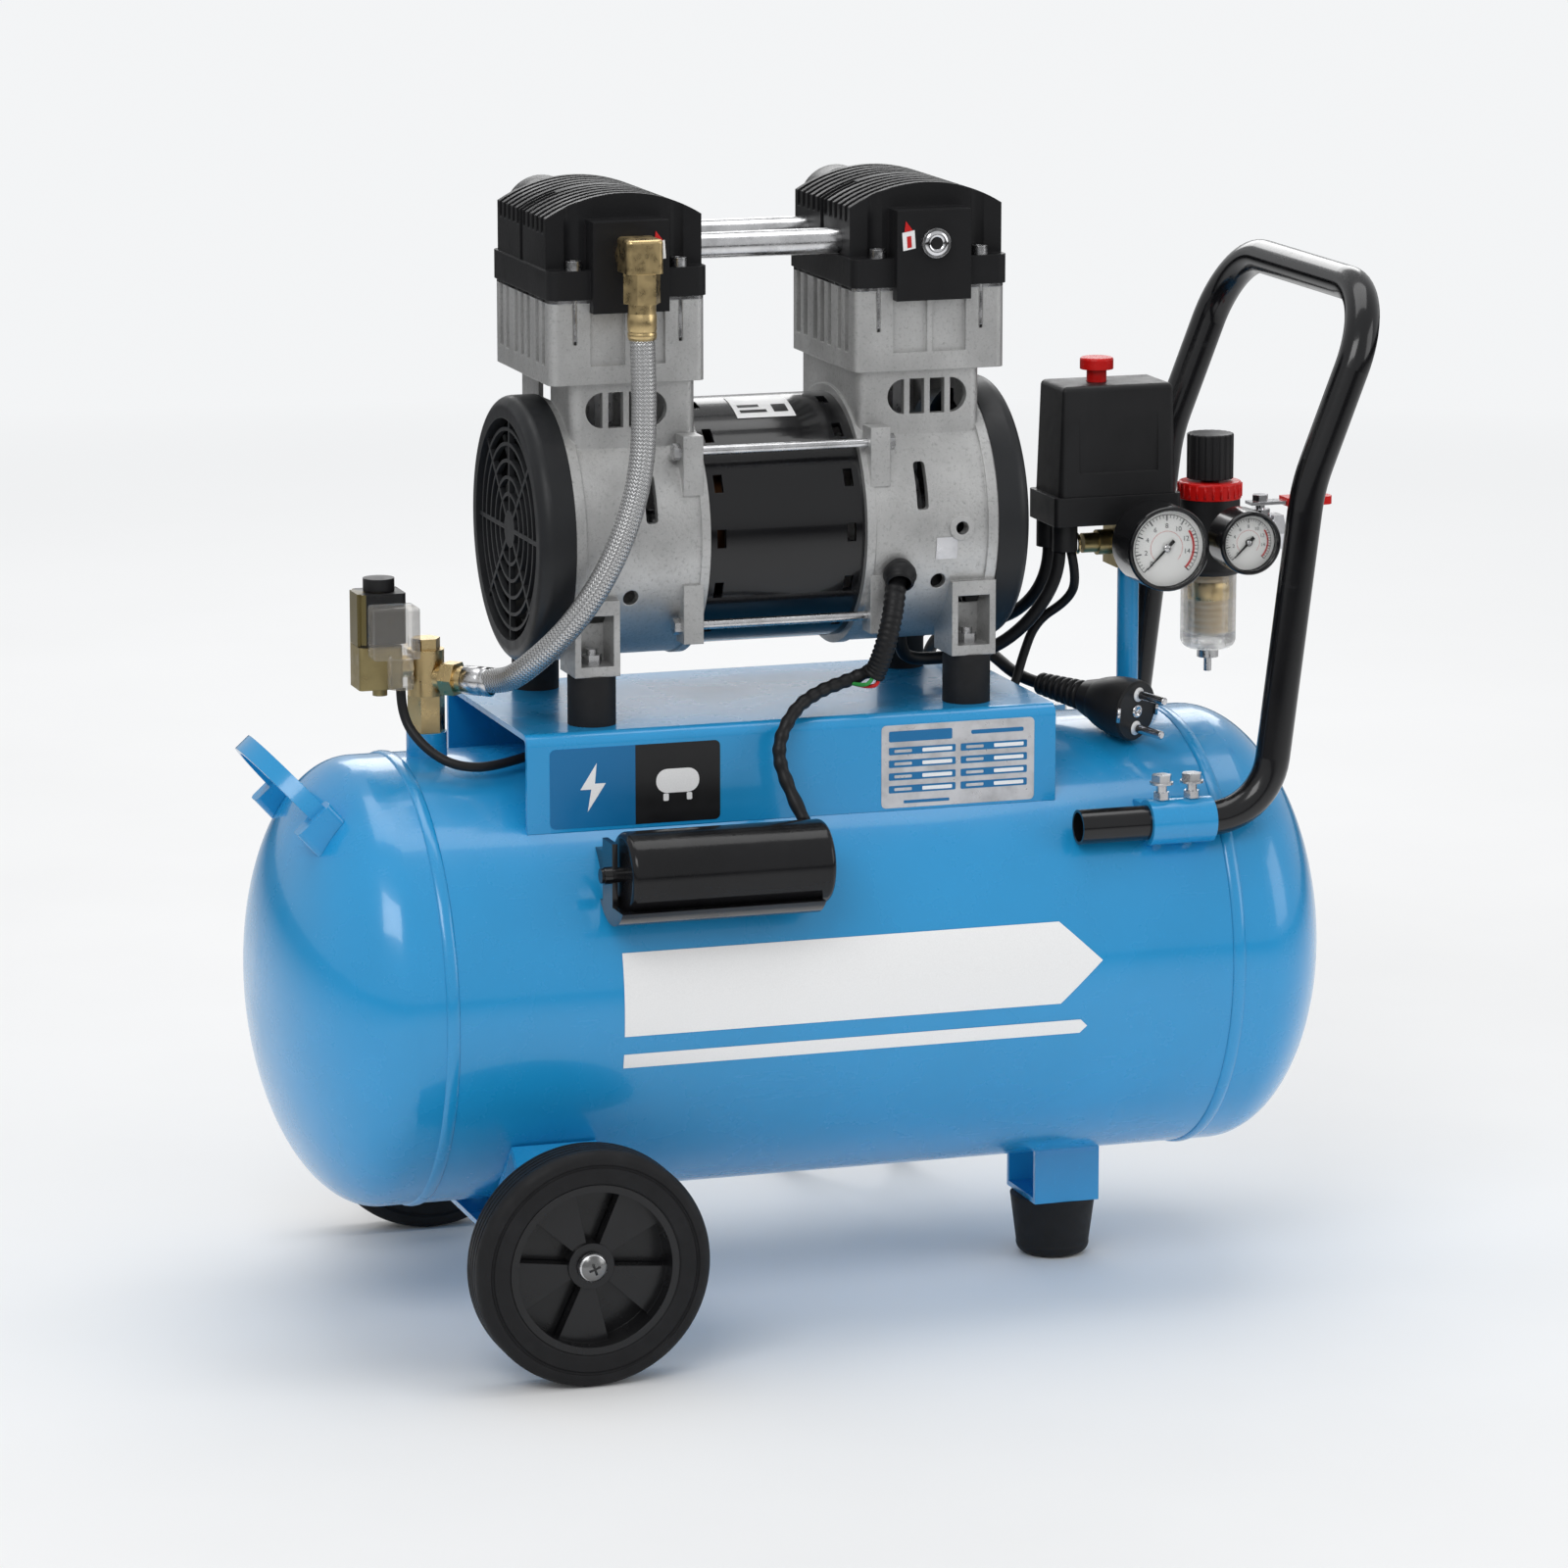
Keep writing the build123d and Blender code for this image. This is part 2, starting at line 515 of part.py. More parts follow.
with BuildPart() as crankcase_left:
    x_cylinder(case_r, case_x0, case_x1, 0, motor_z)
    x_cylinder(case_r + 1.5, case_x0, case_x0 + 6, 0, motor_z)
    x_cylinder(case_r + 1.0, case_x1 - 5, case_x1, 0, motor_z)
    with BuildSketch(Plane.XY.offset(motor_z)):
        with Locations(((neck_x0 + neck_x1) / 2, 0)):
            RectangleRounded(neck_x1 - neck_x0, 2 * neck_half, 6)
    extrude(amount=block_z0 - motor_z)
    for side in (-1, 1):
        near, far = sorted((side * 38, side * (foot_offset_y + 12)))
        block(foot_left - 12.5, foot_left + 12.5, near, far, saddle_top + mount_h, motor_z - 30)
        for height in (tie_z - 7, -tie_z + 7):
            block(case_x1 - 14, case_x1 - 3, side * tie_y - 7, side * tie_y + 7, motor_z + height - 16, motor_z + height + 16)
    x_cylinder(case_r - 5, case_x0, case_x1 - 8, 0, motor_z, Mode.SUBTRACT)
    block(neck_x0 + 5, neck_x1 - 5, -neck_half + 5, neck_half - 5, motor_z, block_z0 - 6, Mode.SUBTRACT)
    x_cylinder(24, case_x1 - 13, case_x1, 0, motor_z)
    x_cylinder(bearing_r, case_x1 - 20, case_x1 + 1, 0, motor_z, Mode.SUBTRACT)
    z_cylinder(bore_r + 1, motor_z + 40, block_z0 + 1, cylinder_left, 0, Mode.SUBTRACT)
    for step in range(6):
        with Locations(Location((case_x1 - 4, 0, motor_z), (step * 60 + 30, 0, 0))):
            with Locations(Location((0, 0, 44), (0, 90, 0))):
                Cylinder(9, 12, mode=Mode.SUBTRACT)
    for side in (-1, 1):
        pocket_near, pocket_far = sorted((side * (foot_offset_y - 8), side * (foot_offset_y + 20)))
        block(foot_left - 9, foot_left + 9, pocket_near, pocket_far, foot_top, motor_z - 38, Mode.SUBTRACT)
        z_cylinder(3.2, saddle_top + mount_h - 1, foot_top + 1, foot_left, side * foot_offset_y, Mode.SUBTRACT)
        for height in (tie_z, -tie_z):
            x_cylinder(2.6, case_x1 - 20, case_x1 + 1, side * tie_y, motor_z + height, Mode.SUBTRACT)
        wall_plane = Plane(origin=(0, side * neck_half, 0), x_dir=(1, 0, 0), z_dir=(0, -1, 0))
        with BuildSketch(wall_plane):
            with Locations((cylinder_left, 498)):
                SlotOverall(45, 19)
                for bar in (-11.5, 0, 11.5):
                    with Locations((bar, 0)):
                        Rectangle(3.2, 20, mode=Mode.SUBTRACT)
        extrude(amount=8, both=True, mode=Mode.SUBTRACT)
    front_plane = Plane(origin=(0, -case_r, 0), x_dir=(1, 0, 0), z_dir=(0, -1, 0))
    with BuildSketch(front_plane):
        with Locations((tank_x - 95.5, motor_z + 23)):
            RectangleRounded(6.5, 25, 2)
        with Locations((tank_x - 106, 399)):
            Circle(4.2)
    extrude(amount=22, both=True, mode=Mode.SUBTRACT)
crankcase_left.part.label = "crankcase_left"
export_step(crankcase_left.part, "parts/crankcase_left.step")

grommet_x = tank_x + 43.0
grommet_z = 404.5

with BuildPart() as crankcase_right:
    mirror(crankcase_left.part, about=pump_mirror)
    y_cylinder(7, -case_r - 2, -case_r + 6, tank_x + 78, motor_z)
    y_cylinder(3.6, -case_r - 3, -case_r + 30, tank_x + 78, motor_z, Mode.SUBTRACT)
    y_cylinder(6.5, -case_r - 3, -case_r + 30, grommet_x, grommet_z, Mode.SUBTRACT)
crankcase_right.part.label = "crankcase_right"
export_step(crankcase_right.part, "parts/crankcase_right.step")

guard_open = 60.0

with BuildPart() as fan_guards:
    guard_x0 = case_x0 - guard_depth
    with BuildSketch(Plane.YZ.offset(guard_x0)):
        with Locations((0, motor_z)):
            Circle(guard_r)
    extrude(amount=guard_depth)
    fillet(edges().group_by(Axis.X)[0], radius=7)
    x_cylinder(guard_open, guard_x0 - 1, case_x0 + 1, 0, motor_z, Mode.SUBTRACT)
    x_cylinder(guard_r - 4, guard_x0 + 8, case_x0 + 1, 0, motor_z, Mode.SUBTRACT)
    with BuildSketch(Plane.YZ.offset(guard_x0 + 2)):
        with Locations((0, motor_z)):
            for radius in (54, 46, 37, 28, 19):
                Circle(radius + 0.9)
                Circle(radius - 0.9, mode=Mode.SUBTRACT)
            Circle(10)
            with PolarLocations(0, 8):
                with Locations((guard_open / 2 + 1, 0)):
                    Rectangle(guard_open, 2.4)
    extrude(amount=3)
    mirror(about=pump_mirror)
fan_guards.part.label = "fan_guards"
export_step(fan_guards.part, "parts/fan_guards.step")

with BuildPart() as tie_rods:
    for side in (-1, 1):
        for height in (tie_z, -tie_z):
            reach = case_in + 14
            x_cylinder(2.5, pump_x - reach - 2, pump_x + reach + 2, side * tie_y, motor_z + height)
            for end in (-1, 1):
                nut_plane = Plane(origin=(pump_x + end * reach, side * tie_y, motor_z + height), z_dir=(end, 0, 0))
                with BuildSketch(nut_plane):
                    RegularPolygon(8 / sqrt(3), 6)
                extrude(amount=4)
tie_rods.part.label = "tie_rods"
export_step(tie_rods.part, "parts/tie_rods.step")

with BuildPart() as vibration_mounts:
    for x, y in mount_spots:
        z_cylinder(mount_r, saddle_top, saddle_top + mount_h, x, y)
        z_cylinder(3.2, saddle_top - 1, saddle_top + mount_h + 1, x, y, Mode.SUBTRACT)
vibration_mounts.part.label = "vibration_mounts"
export_step(vibration_mounts.part, "parts/vibration_mounts.step")

# ---- cylinders, pistons and heads ---------------------------------------------------------
head_bolt_spots = [(sx * 29.0, sy * 51.5) for sx in (-1, 1) for sy in (-1, 1)]
head_bolt_r = 2.6

with BuildPart() as cylinders:
    for x in cylinder_xs:
        with BuildSketch(Plane.XY.offset(block_z0)):
            with Locations((x, 0)):
                RectangleRounded(block_w, block_d, 5)
        extrude(amount=block_z1 - block_z0)
    for x in cylinder_xs:
        z_cylinder(bore_r, block_z0 - 1, block_z1 + 1, x, 0, Mode.SUBTRACT)
        for side in (-1, 1):
            for groove in (-41, -29, -12, 0, 12, 29, 41):
                near, far = sorted((x + side * block_w / 2, x + side * (block_w / 2 - 4)))
                block(near, far, groove - 3.5, groove + 3.5, block_z0 + 10, block_z1 + 1, Mode.SUBTRACT)
            for groove, half in ((-11, 9.5), (11, 9.5)):
                near, far = sorted((side * block_d / 2, side * (block_d / 2 - 2)))
                block(x + groove - half, x + groove + half, near, far, block_z0 + 10, block_z1 + 1, Mode.SUBTRACT)
        for dx, dy in head_bolt_spots:
            z_cylinder(head_bolt_r, block_z1 - 22, block_z1 + 1, x + dx, dy, Mode.SUBTRACT)
cylinders.part.label = "cylinders"
export_step(cylinders.part, "parts/cylinders.step")

big_end_bore = eccentric_r + throw + 0.5
crown_z = 544.0

with BuildPart() as pistons:
    for x in cylinder_xs:
        x_cylinder(big_end_bore + 5, x - 5, x + 5, 0, motor_z)
        block(x - 5, x + 5, -8, 8, motor_z + big_end_bore, crown_z - 6)
        z_cylinder(bore_r - 0.4, crown_z - 7, crown_z, x)
        x_cylinder(big_end_bore, x - 6, x + 6, 0, motor_z, Mode.SUBTRACT)
pistons.part.label = "pistons"
export_step(pistons.part, "parts/pistons.step")

with BuildPart() as valve_plates:
    for x in cylinder_xs:
        with BuildSketch(Plane.XY.offset(block_z1)):
            with Locations((x, 0)):
                RectangleRounded(block_w, block_d, 5)
                with Locations((0, -14), (0, 14)):
                    Circle(5, mode=Mode.SUBTRACT)
                for dx, dy in head_bolt_spots:
                    with Locations((dx, dy)):
                        Circle(head_bolt_r, mode=Mode.SUBTRACT)
        extrude(amount=plate_t)
valve_plates.part.label = "valve_plates"
export_step(valve_plates.part, "parts/valve_plates.step")

flange_z1 = head_z0 + flange_h
body_half_w = 43.0
body_half_d = 47.0
arch_z = head_z0 + head_side
arch_r = (body_half_w**2 + head_rise**2) / (2 * head_rise)
fin_pitch = 8.6
filter_z = 589.0
port_y = -61.0               # face of the outlet pad

with BuildPart() as cylinder_heads:
    for x in cylinder_xs:
        with BuildSketch(Plane.XY.offset(head_z0)):
            with Locations((x, 0)):
                RectangleRounded(head_w, head_d, 6)
        extrude(amount=flange_h)
        with BuildSketch(Plane.XZ.offset(-body_half_d)):
            with BuildLine():
                Polyline((x - body_half_w, arch_z), (x - body_half_w, flange_z1), (x + body_half_w, flange_z1), (x + body_half_w, arch_z))
                ThreePointArc((x + body_half_w, arch_z), (x, arch_z + head_rise), (x - body_half_w, arch_z))
            make_face()
        extrude(amount=2 * body_half_d)
        block(x - 21, x + 21, port_y, -body_half_d + 2, head_z0, flange_z1 + 26)
        block(x - 21, x + 21, port_y, -block_d / 2, head_z0 - 7, head_z0)
        y_cylinder(18, body_half_d - 2, 54, x - 10, filter_z)
        y_cylinder(14, 54, 57, x - 10, filter_z)
    for x in cylinder_xs:
        for half in (-1, 1):
            for fin in range(5):
                gap_y = half * (6 + fin_pitch * fin)
                with BuildSketch(Plane.XZ.offset(-gap_y - 2.3)):
                    with BuildLine():
                        ThreePointArc((x + 50, arch_z - 14), (x, arch_z + head_rise - 7), (x - 50, arch_z - 14))
                        Polyline((x - 50, arch_z - 14), (x - 50, arch_z + 30), (x + 50, arch_z + 30), (x + 50, arch_z - 14))
                    make_face()
                extrude(amount=4.6, mode=Mode.SUBTRACT)
        block(x - 50, x - 24, -2.8, 2.8, flange_z1, arch_z + 20, Mode.SUBTRACT)
        block(x - 34, x + 34, -40, 40, head_z0 - 1, head_z0 + 10, Mode.SUBTRACT)
        y_cylinder(5, port_y - 1, -38, x, port_z, Mode.SUBTRACT)
        for dx, dy in head_bolt_spots:
            z_cylinder(head_bolt_r, head_z0 - 1, flange_z1 + 1, x + dx, dy, Mode.SUBTRACT)
            z_cylinder(6, flange_z1, flange_z1 + 60, x + dx, dy, Mode.SUBTRACT)
cylinder_heads.part.label = "cylinder_heads"
export_step(cylinder_heads.part, "parts/cylinder_heads.step")

# ---- bolts and nuts ------------------------------------------------------------------------
foot_bolt_low = saddle_top - sheet - 5.0

with BuildPart() as bolts_and_nuts:
    for x in cylinder_xs:
        for dx, dy in head_bolt_spots:
            z_cylinder(head_bolt_r, block_z1 - 20, flange_z1, x + dx, dy)
            z_cylinder(4.25, flange_z1, flange_z1 + 5, x + dx, dy)
            with BuildSketch(Plane.XY.offset(flange_z1 + 5)):
                with Locations((x + dx, dy)):
                    RegularPolygon(4 / sqrt(3), 6)
            extrude(amount=-2.5, mode=Mode.SUBTRACT)
    for x, y in mount_spots:
        z_cylinder(3.1, foot_bolt_low - 3, foot_top + 8, x, y)
        hex_bar(10, foot_bolt_low, saddle_top - sheet, x, y)
        hex_bar(10, foot_top, foot_top + 5, x, y)
    for x in clamp_bolts_x:
        for side in (-1, 1):
            z_cylinder(bolt_r, handle_z - 11.5, handle_z + 22, x, side * handle_y)
            hex_bar(10, handle_z + 22, handle_z + 26, x, side * handle_y)
            z_cylinder(6.5, handle_z + 20.8, handle_z + 22, x, side * handle_y)
            hex_bar(8, handle_z + clamp_r, handle_z + clamp_r + 4, x, side * handle_y)
bolts_and_nuts.part.label = "bolts_and_nuts"
export_step(bolts_and_nuts.part, "parts/bolts_and_nuts.step")

# ---- air lines of the pump -----------------------------------------------------------------
port_bore = 5.0
head_inner = [cylinder_xs[0] + body_half_w, cylinder_xs[1] - body_half_w]

with BuildPart() as crossover_tubes:
    for y in (-28, 28):
        x_cylinder(7, head_inner[0], head_inner[1], y, port_z - 1)
        x_cylinder(5, head_inner[0] - 1, head_inner[1] + 1, y, port_z - 1, Mode.SUBTRACT)
crossover_tubes.part.label = "crossover_tubes"
export_step(crossover_tubes.part, "parts/crossover_tubes.step")

with BuildPart() as intake_filters:
    for x in cylinder_xs:
        y_cylinder(11, 57, 60, x - 10, filter_z)
        y_cylinder(21, 60, 80, x - 10, filter_z)
    fillet(edges().filter_by(GeomType.CIRCLE).group_by(Axis.Y)[-1], radius=3.5)
    for x in cylinder_xs:
        with Locations(Location((x - 10, 80, filter_z), (-90, 0, 0))):
            with PolarLocations(12, 10):
                Box(7, 3, 6, mode=Mode.SUBTRACT)
intake_filters.part.label = "intake_filters"
export_step(intake_filters.part, "parts/intake_filters.step")

elbow_y = -80.0
hose_top = (cylinder_left, elbow_y, 539.5)

with BuildPart() as hose_fittings:
    y_cylinder(port_bore, port_y, -50, cylinder_left, port_z)
    y_cylinder(9, port_y - 5, port_y, cylinder_left, port_z)
    with BuildSketch(Plane.XY.offset(574.5)):
        with Locations((cylinder_left, -77)):
            RectangleRounded(20, 22, 3)
    extrude(amount=18)
    fillet(edges().group_by(Axis.Z)[-1], radius=2)
    hex_bar(17.6, 558.5, 574.5, cylinder_left, elbow_y)
    z_cylinder(7.4, hose_top[2], 558.5, cylinder_left, elbow_y)
    y_cylinder(port_bore, port_y, -50, cylinder_xs[1], port_z)
    y_cylinder(8, port_y - 4, port_y, cylinder_xs[1], port_z)
    with BuildSketch(Plane.XZ.offset(-(port_y - 4))):
        with Locations((cylinder_xs[1], port_z)):
            RegularPolygon(6.2, 6)
    extrude(amount=-3, mode=Mode.SUBTRACT)
hose_fittings.part.label = "hose_fittings"
export_step(hose_fittings.part, "parts/hose_fittings.step")

side_port = Vector(sqrt(0.5), -sqrt(0.5), 0)
side_z = 351.0
hose_foot = Vector(valve_x, 0, side_z) + side_port * 24

with BuildPart() as check_valve:
    z_cylinder(6.0, 306, 321, valve_x)
    hex_bar(18, 321, 341, valve_x)
    z_cylinder(10, 341, 366, valve_x)
    hex_bar(14, 366, 372, valve_x)
    x_cylinder(6, valve_x - 15.3, valve_x, 0, 357)
    port_plane = Plane(origin=(valve_x, 0, side_z), z_dir=side_port)
    with BuildSketch(port_plane):
        Circle(7)
    extrude(amount=24)
    with BuildSketch(port_plane.offset(12)):
        RegularPolygon(17 / sqrt(3), 6)
    extrude(amount=8)
check_valve.part.label = "check_valve"
export_step(check_valve.part, "parts/check_valve.step")

hose_points = [
    hose_top,
    (tank_x - 103, -82, 500),
    (tank_x - 107.5, -86, 462),
    (tank_x - 121.5, -87, 424),
    (tank_x - 142, -80, 389),
    (tank_x - 163.5, -59, 362),
    tuple(hose_foot + side_port * 22),
    tuple(hose_foot),
]
braided_hose_part = turned_tube(hose_points, 6.7, "braided hose")
braided_hose_part.label = "braided_hose"
export_step(braided_hose_part, "parts/braided_hose.step")

# ---- solenoid valve ------------------------------------------------------------------------
coil_x0 = tank_x - 240.0
coil_x1 = tank_x - 215.5
coil_mid = (coil_x0 + coil_x1) / 2
coil_z0 = 371.5
coil_z1 = 398.8
plunger_r = 6.5

with BuildPart() as solenoid_valve:
    block(tank_x - 241.5, valve_x - 15.3, -11, 11, 346.7, 370)
    fillet(edges().filter_by(Axis.Z), radius=2)
    z_cylinder(plunger_r, 370, 402, coil_mid)
    z_cylinder(8.5, coil_z1 + 0.4, 406, coil_mid)
    z_cylinder(4, 342, 346.7, coil_mid)
solenoid_valve.part.label = "solenoid_valve"
export_step(solenoid_valve.part, "parts/solenoid_valve.step")

with BuildPart() as solenoid_coil:
    block(coil_x0, coil_x1, -12, 12, coil_z0, coil_z1)
    fillet(edges().filter_by(Axis.Z), radius=2.5)
    block(coil_x0 - 1.8, coil_x0, -8, 8, coil_z0 - 1, coil_z1)
    z_cylinder(plunger_r, coil_z0 - 2, coil_z1 + 1, coil_mid, 0, Mode.SUBTRACT)
solenoid_coil.part.label = "solenoid_coil"
export_step(solenoid_coil.part, "parts/solenoid_coil.step")

gland_x = tank_x - 221.5
gland_y = -20.5

with BuildPart() as solenoid_connector:
    block(tank_x - 237.5, tank_x - 212.5, -30, -12.2, 366, 394)
    fillet(edges().filter_by(Axis.Z), radius=2)
    fillet(edges().group_by(Axis.Z)[-1], radius=2)
    z_cylinder(7, 349, 366, gland_x, gland_y)
    y_cylinder(2.5, -31.2, -30, coil_mid, 385)
solenoid_connector.part.label = "solenoid_connector"
export_step(solenoid_connector.part, "parts/solenoid_connector.step")

# ---- start capacitor -----------------------------------------------------------------------
can_r = 22.5
can_x0 = tank_x - 130.7
can_x1 = tank_x - 18.5
can_y = -128.0
can_z = 263.5

with BuildPart() as capacitor:
    x_cylinder(can_r, can_x0, can_x1, can_y, can_z)
    fillet(edges().filter_by(GeomType.CIRCLE), radius=3.5)
    x_cylinder(4, can_x0 - 12, can_x0 + 1, can_y, can_z)
capacitor.part.label = "capacitor"
export_step(capacitor.part, "parts/capacitor.step")

with BuildPart() as capacitor_bracket:
    x_cylinder(can_r + 4.5, can_x0 - 6, can_x1 - 6, can_y, can_z)
    block(can_x0 - 7, can_x1, -160, -80, can_z - 17, 300, Mode.SUBTRACT)
    block(can_x0 - 3, can_x1 - 6, -118, -84, can_z - 22, can_z + 7)
    block(can_x0 - 6, can_x0 - 3, -130, -112, can_z - 22, can_z + 17)
    x_cylinder(can_r, can_x0 - 3, can_x1 + 5, can_y, can_z, Mode.SUBTRACT)
    cut_tank()
    x_cylinder(4.6, can_x0 - 10.5, can_x0 - 6, can_y, can_z)
    x_cylinder(4, can_x0 - 13, can_x0 + 1, can_y, can_z, Mode.SUBTRACT)
capacitor_bracket.part.label = "capacitor_bracket"
export_step(capacitor_bracket.part, "parts/capacitor_bracket.step")

# ---- leads held at both ends ---------------------------------------------------------------
lead_r = 3.2
sleeve_points = [
    (grommet_x, -64, grommet_z),
    (tank_x + 38.5, -76, 393),
    (tank_x + 33, -81, 374),
    (tank_x + 29, -76, 356),
    (tank_x + 16, -66, 348),
    (tank_x - 4, -74, 344.5),
    (tank_x - 22, -86, 338),
    (tank_x - 34, -92.5, 320),
    (tank_x - 30, -98, 300),
    (tank_x - 24, -112.1, 279.4),
]
capacitor_lead_part = turned_tube(sleeve_points, lead_r, "capacitor lead")
capacitor_lead_part.label = "capacitor_lead"
export_step(capacitor_lead_part, "parts/capacitor_lead.step")

switch_y = 22.0
gland_z0 = 402.0
case_low = motor_z - case_r
solenoid_points = [
    (gland_x, gland_y, 349),
    (gland_x, gland_y, 334),
    (tank_x - 213, -33, 319),
    (tank_x - 199, -45, 309.5),
    (tank_x - 176, -46, 308),
    (tank_x - 130, -30, 317),
    (tank_x - 60, -22, 319),
    (tank_x + 30, -22, 319),
    (tank_x + 105, -20, 319),
    (tank_x + 132, -4, 322),
    (tank_x + 141, 6, 340),
    (tank_x + 150, 9, 360),
    (tank_x + 166, 1, 372),
    (tank_x + 168.5, -7, 385),
    (tank_x + 163.5, -9.5, gland_z0 - 0.7),
]
motor_points = [
    (tank_x + 156.8, -9.5, gland_z0),
    (tank_x + 156.8, -9.5, 388),
    (tank_x + 142, -4, 362),
    (tank_x + 121, 4, 345),
    (tank_x + 94, 10, 342),
    (tank_x + 74, 6, 343.5),
    (tank_x + 68, 2, case_low - 7),
    (tank_x + 68, 2, case_low - 0.1),
]
solenoid_lead = turned_tube(solenoid_points, 2.5, "solenoid lead")
motor_lead = turned_tube(motor_points, 3.4, "motor lead")
control_leads_part = Compound(children=[solenoid_lead, motor_lead])
control_leads_part.label = "control_leads"
export_step(control_leads_part, "parts/control_leads.step")

# ---- pressure switch -----------------------------------------------------------------------
base_x0 = tank_x + 150.0
base_x1 = tank_x + 224.0
base_z0 = 417.0
base_z1 = 433.0
cover_x0 = tank_x + 153.0
cover_x1 = tank_x + 221.5
cover_z1 = 494.0
knob_x = tank_x + 181.3

with BuildPart() as switch_base:
    block(base_x0, base_x1, -switch_y, switch_y, base_z0, base_z1)
    fillet(edges().filter_by(Axis.Z), radius=3)
    z_cylinder(7, gland_z0, base_z0, tank_x + 157.5, 9)
    z_cylinder(7, gland_z0, base_z0, tank_x + 160, -9.5)
    block(tank_x + 188, tank_x + 214, -15, 15, base_z1, base_z1 + 40)
    z_cylinder(7.5, base_z1, base_z1 + 28, knob_x)
    z_cylinder(4.6, base_z1 + 10, base_z1 + 29, knob_x, 0, Mode.SUBTRACT)
    z_cylinder(6.0, base_z0 - 1, base_z1 - 4, riser_x, 0, Mode.SUBTRACT)
switch_base.part.label = "switch_base"
export_step(switch_base.part, "parts/switch_base.step")

with BuildPart() as switch_cover:
    with BuildSketch(Plane.XY.offset(base_z1)):
        with Locations(((cover_x0 + cover_x1) / 2, 0)):
            RectangleRounded(cover_x1 - cover_x0, 2 * switch_y - 2, 4)
    extrude(amount=cover_z1 - base_z1, taper=2)
    fillet(edges().group_by(Axis.Z)[-1], radius=3)
    with BuildSketch(Plane.XY.offset(base_z1)):
        with Locations(((cover_x0 + cover_x1) / 2, 0)):
            RectangleRounded(cover_x1 - cover_x0 - 5, 2 * switch_y - 7, 2)
    extrude(amount=cover_z1 - base_z1 - 2.5, taper=2, mode=Mode.SUBTRACT)
    z_cylinder(5.8, cover_z1 - 6, cover_z1 + 1, knob_x, 0, Mode.SUBTRACT)
    with Locations(((cover_x0 + cover_x1) / 2, -switch_y + 2, base_z1 + 30)):
        Box(46, 1.2, 34, mode=Mode.SUBTRACT)
switch_cover.part.label = "switch_cover"
export_step(switch_cover.part, "parts/switch_cover.step")

knob_travel = 6.0

with BuildPart() as switch_knob:
    z_cylinder(5.5, cover_z1 - 8, cover_z1 + 7, knob_x)
    z_cylinder(4.5, base_z1 + 10 + knob_travel + 0.5, cover_z1 - 8, knob_x)
    z_cylinder(9.25, cover_z1 + 7, cover_z1 + 13.5, knob_x)
    fillet(edges().filter_by(GeomType.CIRCLE).group_by(Axis.Z)[-1], radius=1.5)
switch_knob.part.label = "switch_knob"
export_step(switch_knob.part, "parts/switch_knob.step")

# ---- riser, manifold and safety valve -------------------------------------------------------
block_half = 11.0
body_z = 405.0

with BuildPart() as riser_pipe:
    z_cylinder(6, 306, manifold_z - 13, riser_x)
    z_cylinder(4, 305, manifold_z - 12, riser_x, 0, Mode.SUBTRACT)
riser_pipe.part.label = "riser_pipe"
export_step(riser_pipe.part, "parts/riser_pipe.step")

large_back = -36.0           # back of each gauge case
small_back = -42.0

with BuildPart() as manifold:
    block(riser_x - block_half, riser_x + block_half, -block_half, block_half, manifold_z - 13, base_z0)
    z_cylinder(6, base_z0, base_z1 - 4, riser_x)
    x_cylinder(8, riser_x, regulator_x - 17, 0, body_z)
    with BuildSketch(Plane.YZ.offset(riser_x + 17)):
        with Locations((0, body_z)):
            RegularPolygon(20 / sqrt(3), 6)
    extrude(amount=10)
    y_cylinder(6.5, large_back, 0, riser_x, gauge_z)
    x_cylinder(7, tank_x + 182, riser_x, 0, manifold_z)
    x_cylinder(5.5, tank_x + 173.5, tank_x + 182, 0, manifold_z)
    z_cylinder(4, manifold_z - 14, manifold_z + 4, riser_x, 0, Mode.SUBTRACT)
manifold.part.label = "manifold"
export_step(manifold.part, "parts/manifold.step")

# ---- gauges: case, lens and needle ----------------------------------------------------------
gauges = [(riser_x, gauge_z, 23.5, large_back), (regulator_x, gauge_z + 0.6, 17.6, small_back)]
bezel_y = gauge_y - 4.0

with BuildPart() as gauge_cases:
    for x, z, radius, back in gauges:
        y_cylinder(radius, bezel_y, back, x, z)
    fillet(edges().filter_by(GeomType.CIRCLE).group_by(Axis.Y)[0], radius=1.2)
    for x, z, radius, back in gauges:
        y_cylinder(radius - 2, bezel_y - 1, gauge_y + 0.5, x, z, Mode.SUBTRACT)
    y_cylinder(5, small_back, -10, regulator_x, gauge_z + 0.6)
    z_cylinder(17, body_z - 30, body_z + 30, regulator_x, 0, Mode.SUBTRACT)
gauge_cases.part.label = "gauge_cases"
export_step(gauge_cases.part, "parts/gauge_cases.step")

with BuildPart() as gauge_lenses:
    for x, z, radius, back in gauges:
        y_cylinder(radius - 2, bezel_y + 0.8, bezel_y + 2, x, z)
gauge_lenses.part.label = "gauge_lenses"
export_step(gauge_lenses.part, "parts/gauge_lenses.step")


def needle(x, z, reach):
    """A gauge needle pointing to zero, at the lower left, with its pin."""
    with BuildPart() as made:
        with BuildSketch(Plane(origin=(x, gauge_y - 0.7, z), x_dir=(-sqrt(0.5), 0, -sqrt(0.5)), z_dir=(0, -1, 0))):
            with BuildLine():
                Polyline((-0.35 * reach, -1.0), (0, -0.7), (reach, -0.2), (reach, 0.2), (0, 0.7), (-0.35 * reach, 1.0), close=True)
            make_face()
            Circle(2)
        extrude(amount=0.6)
        y_cylinder(0.8, gauge_y - 0.7, gauge_y + 0.3, x, z)
    return made.part


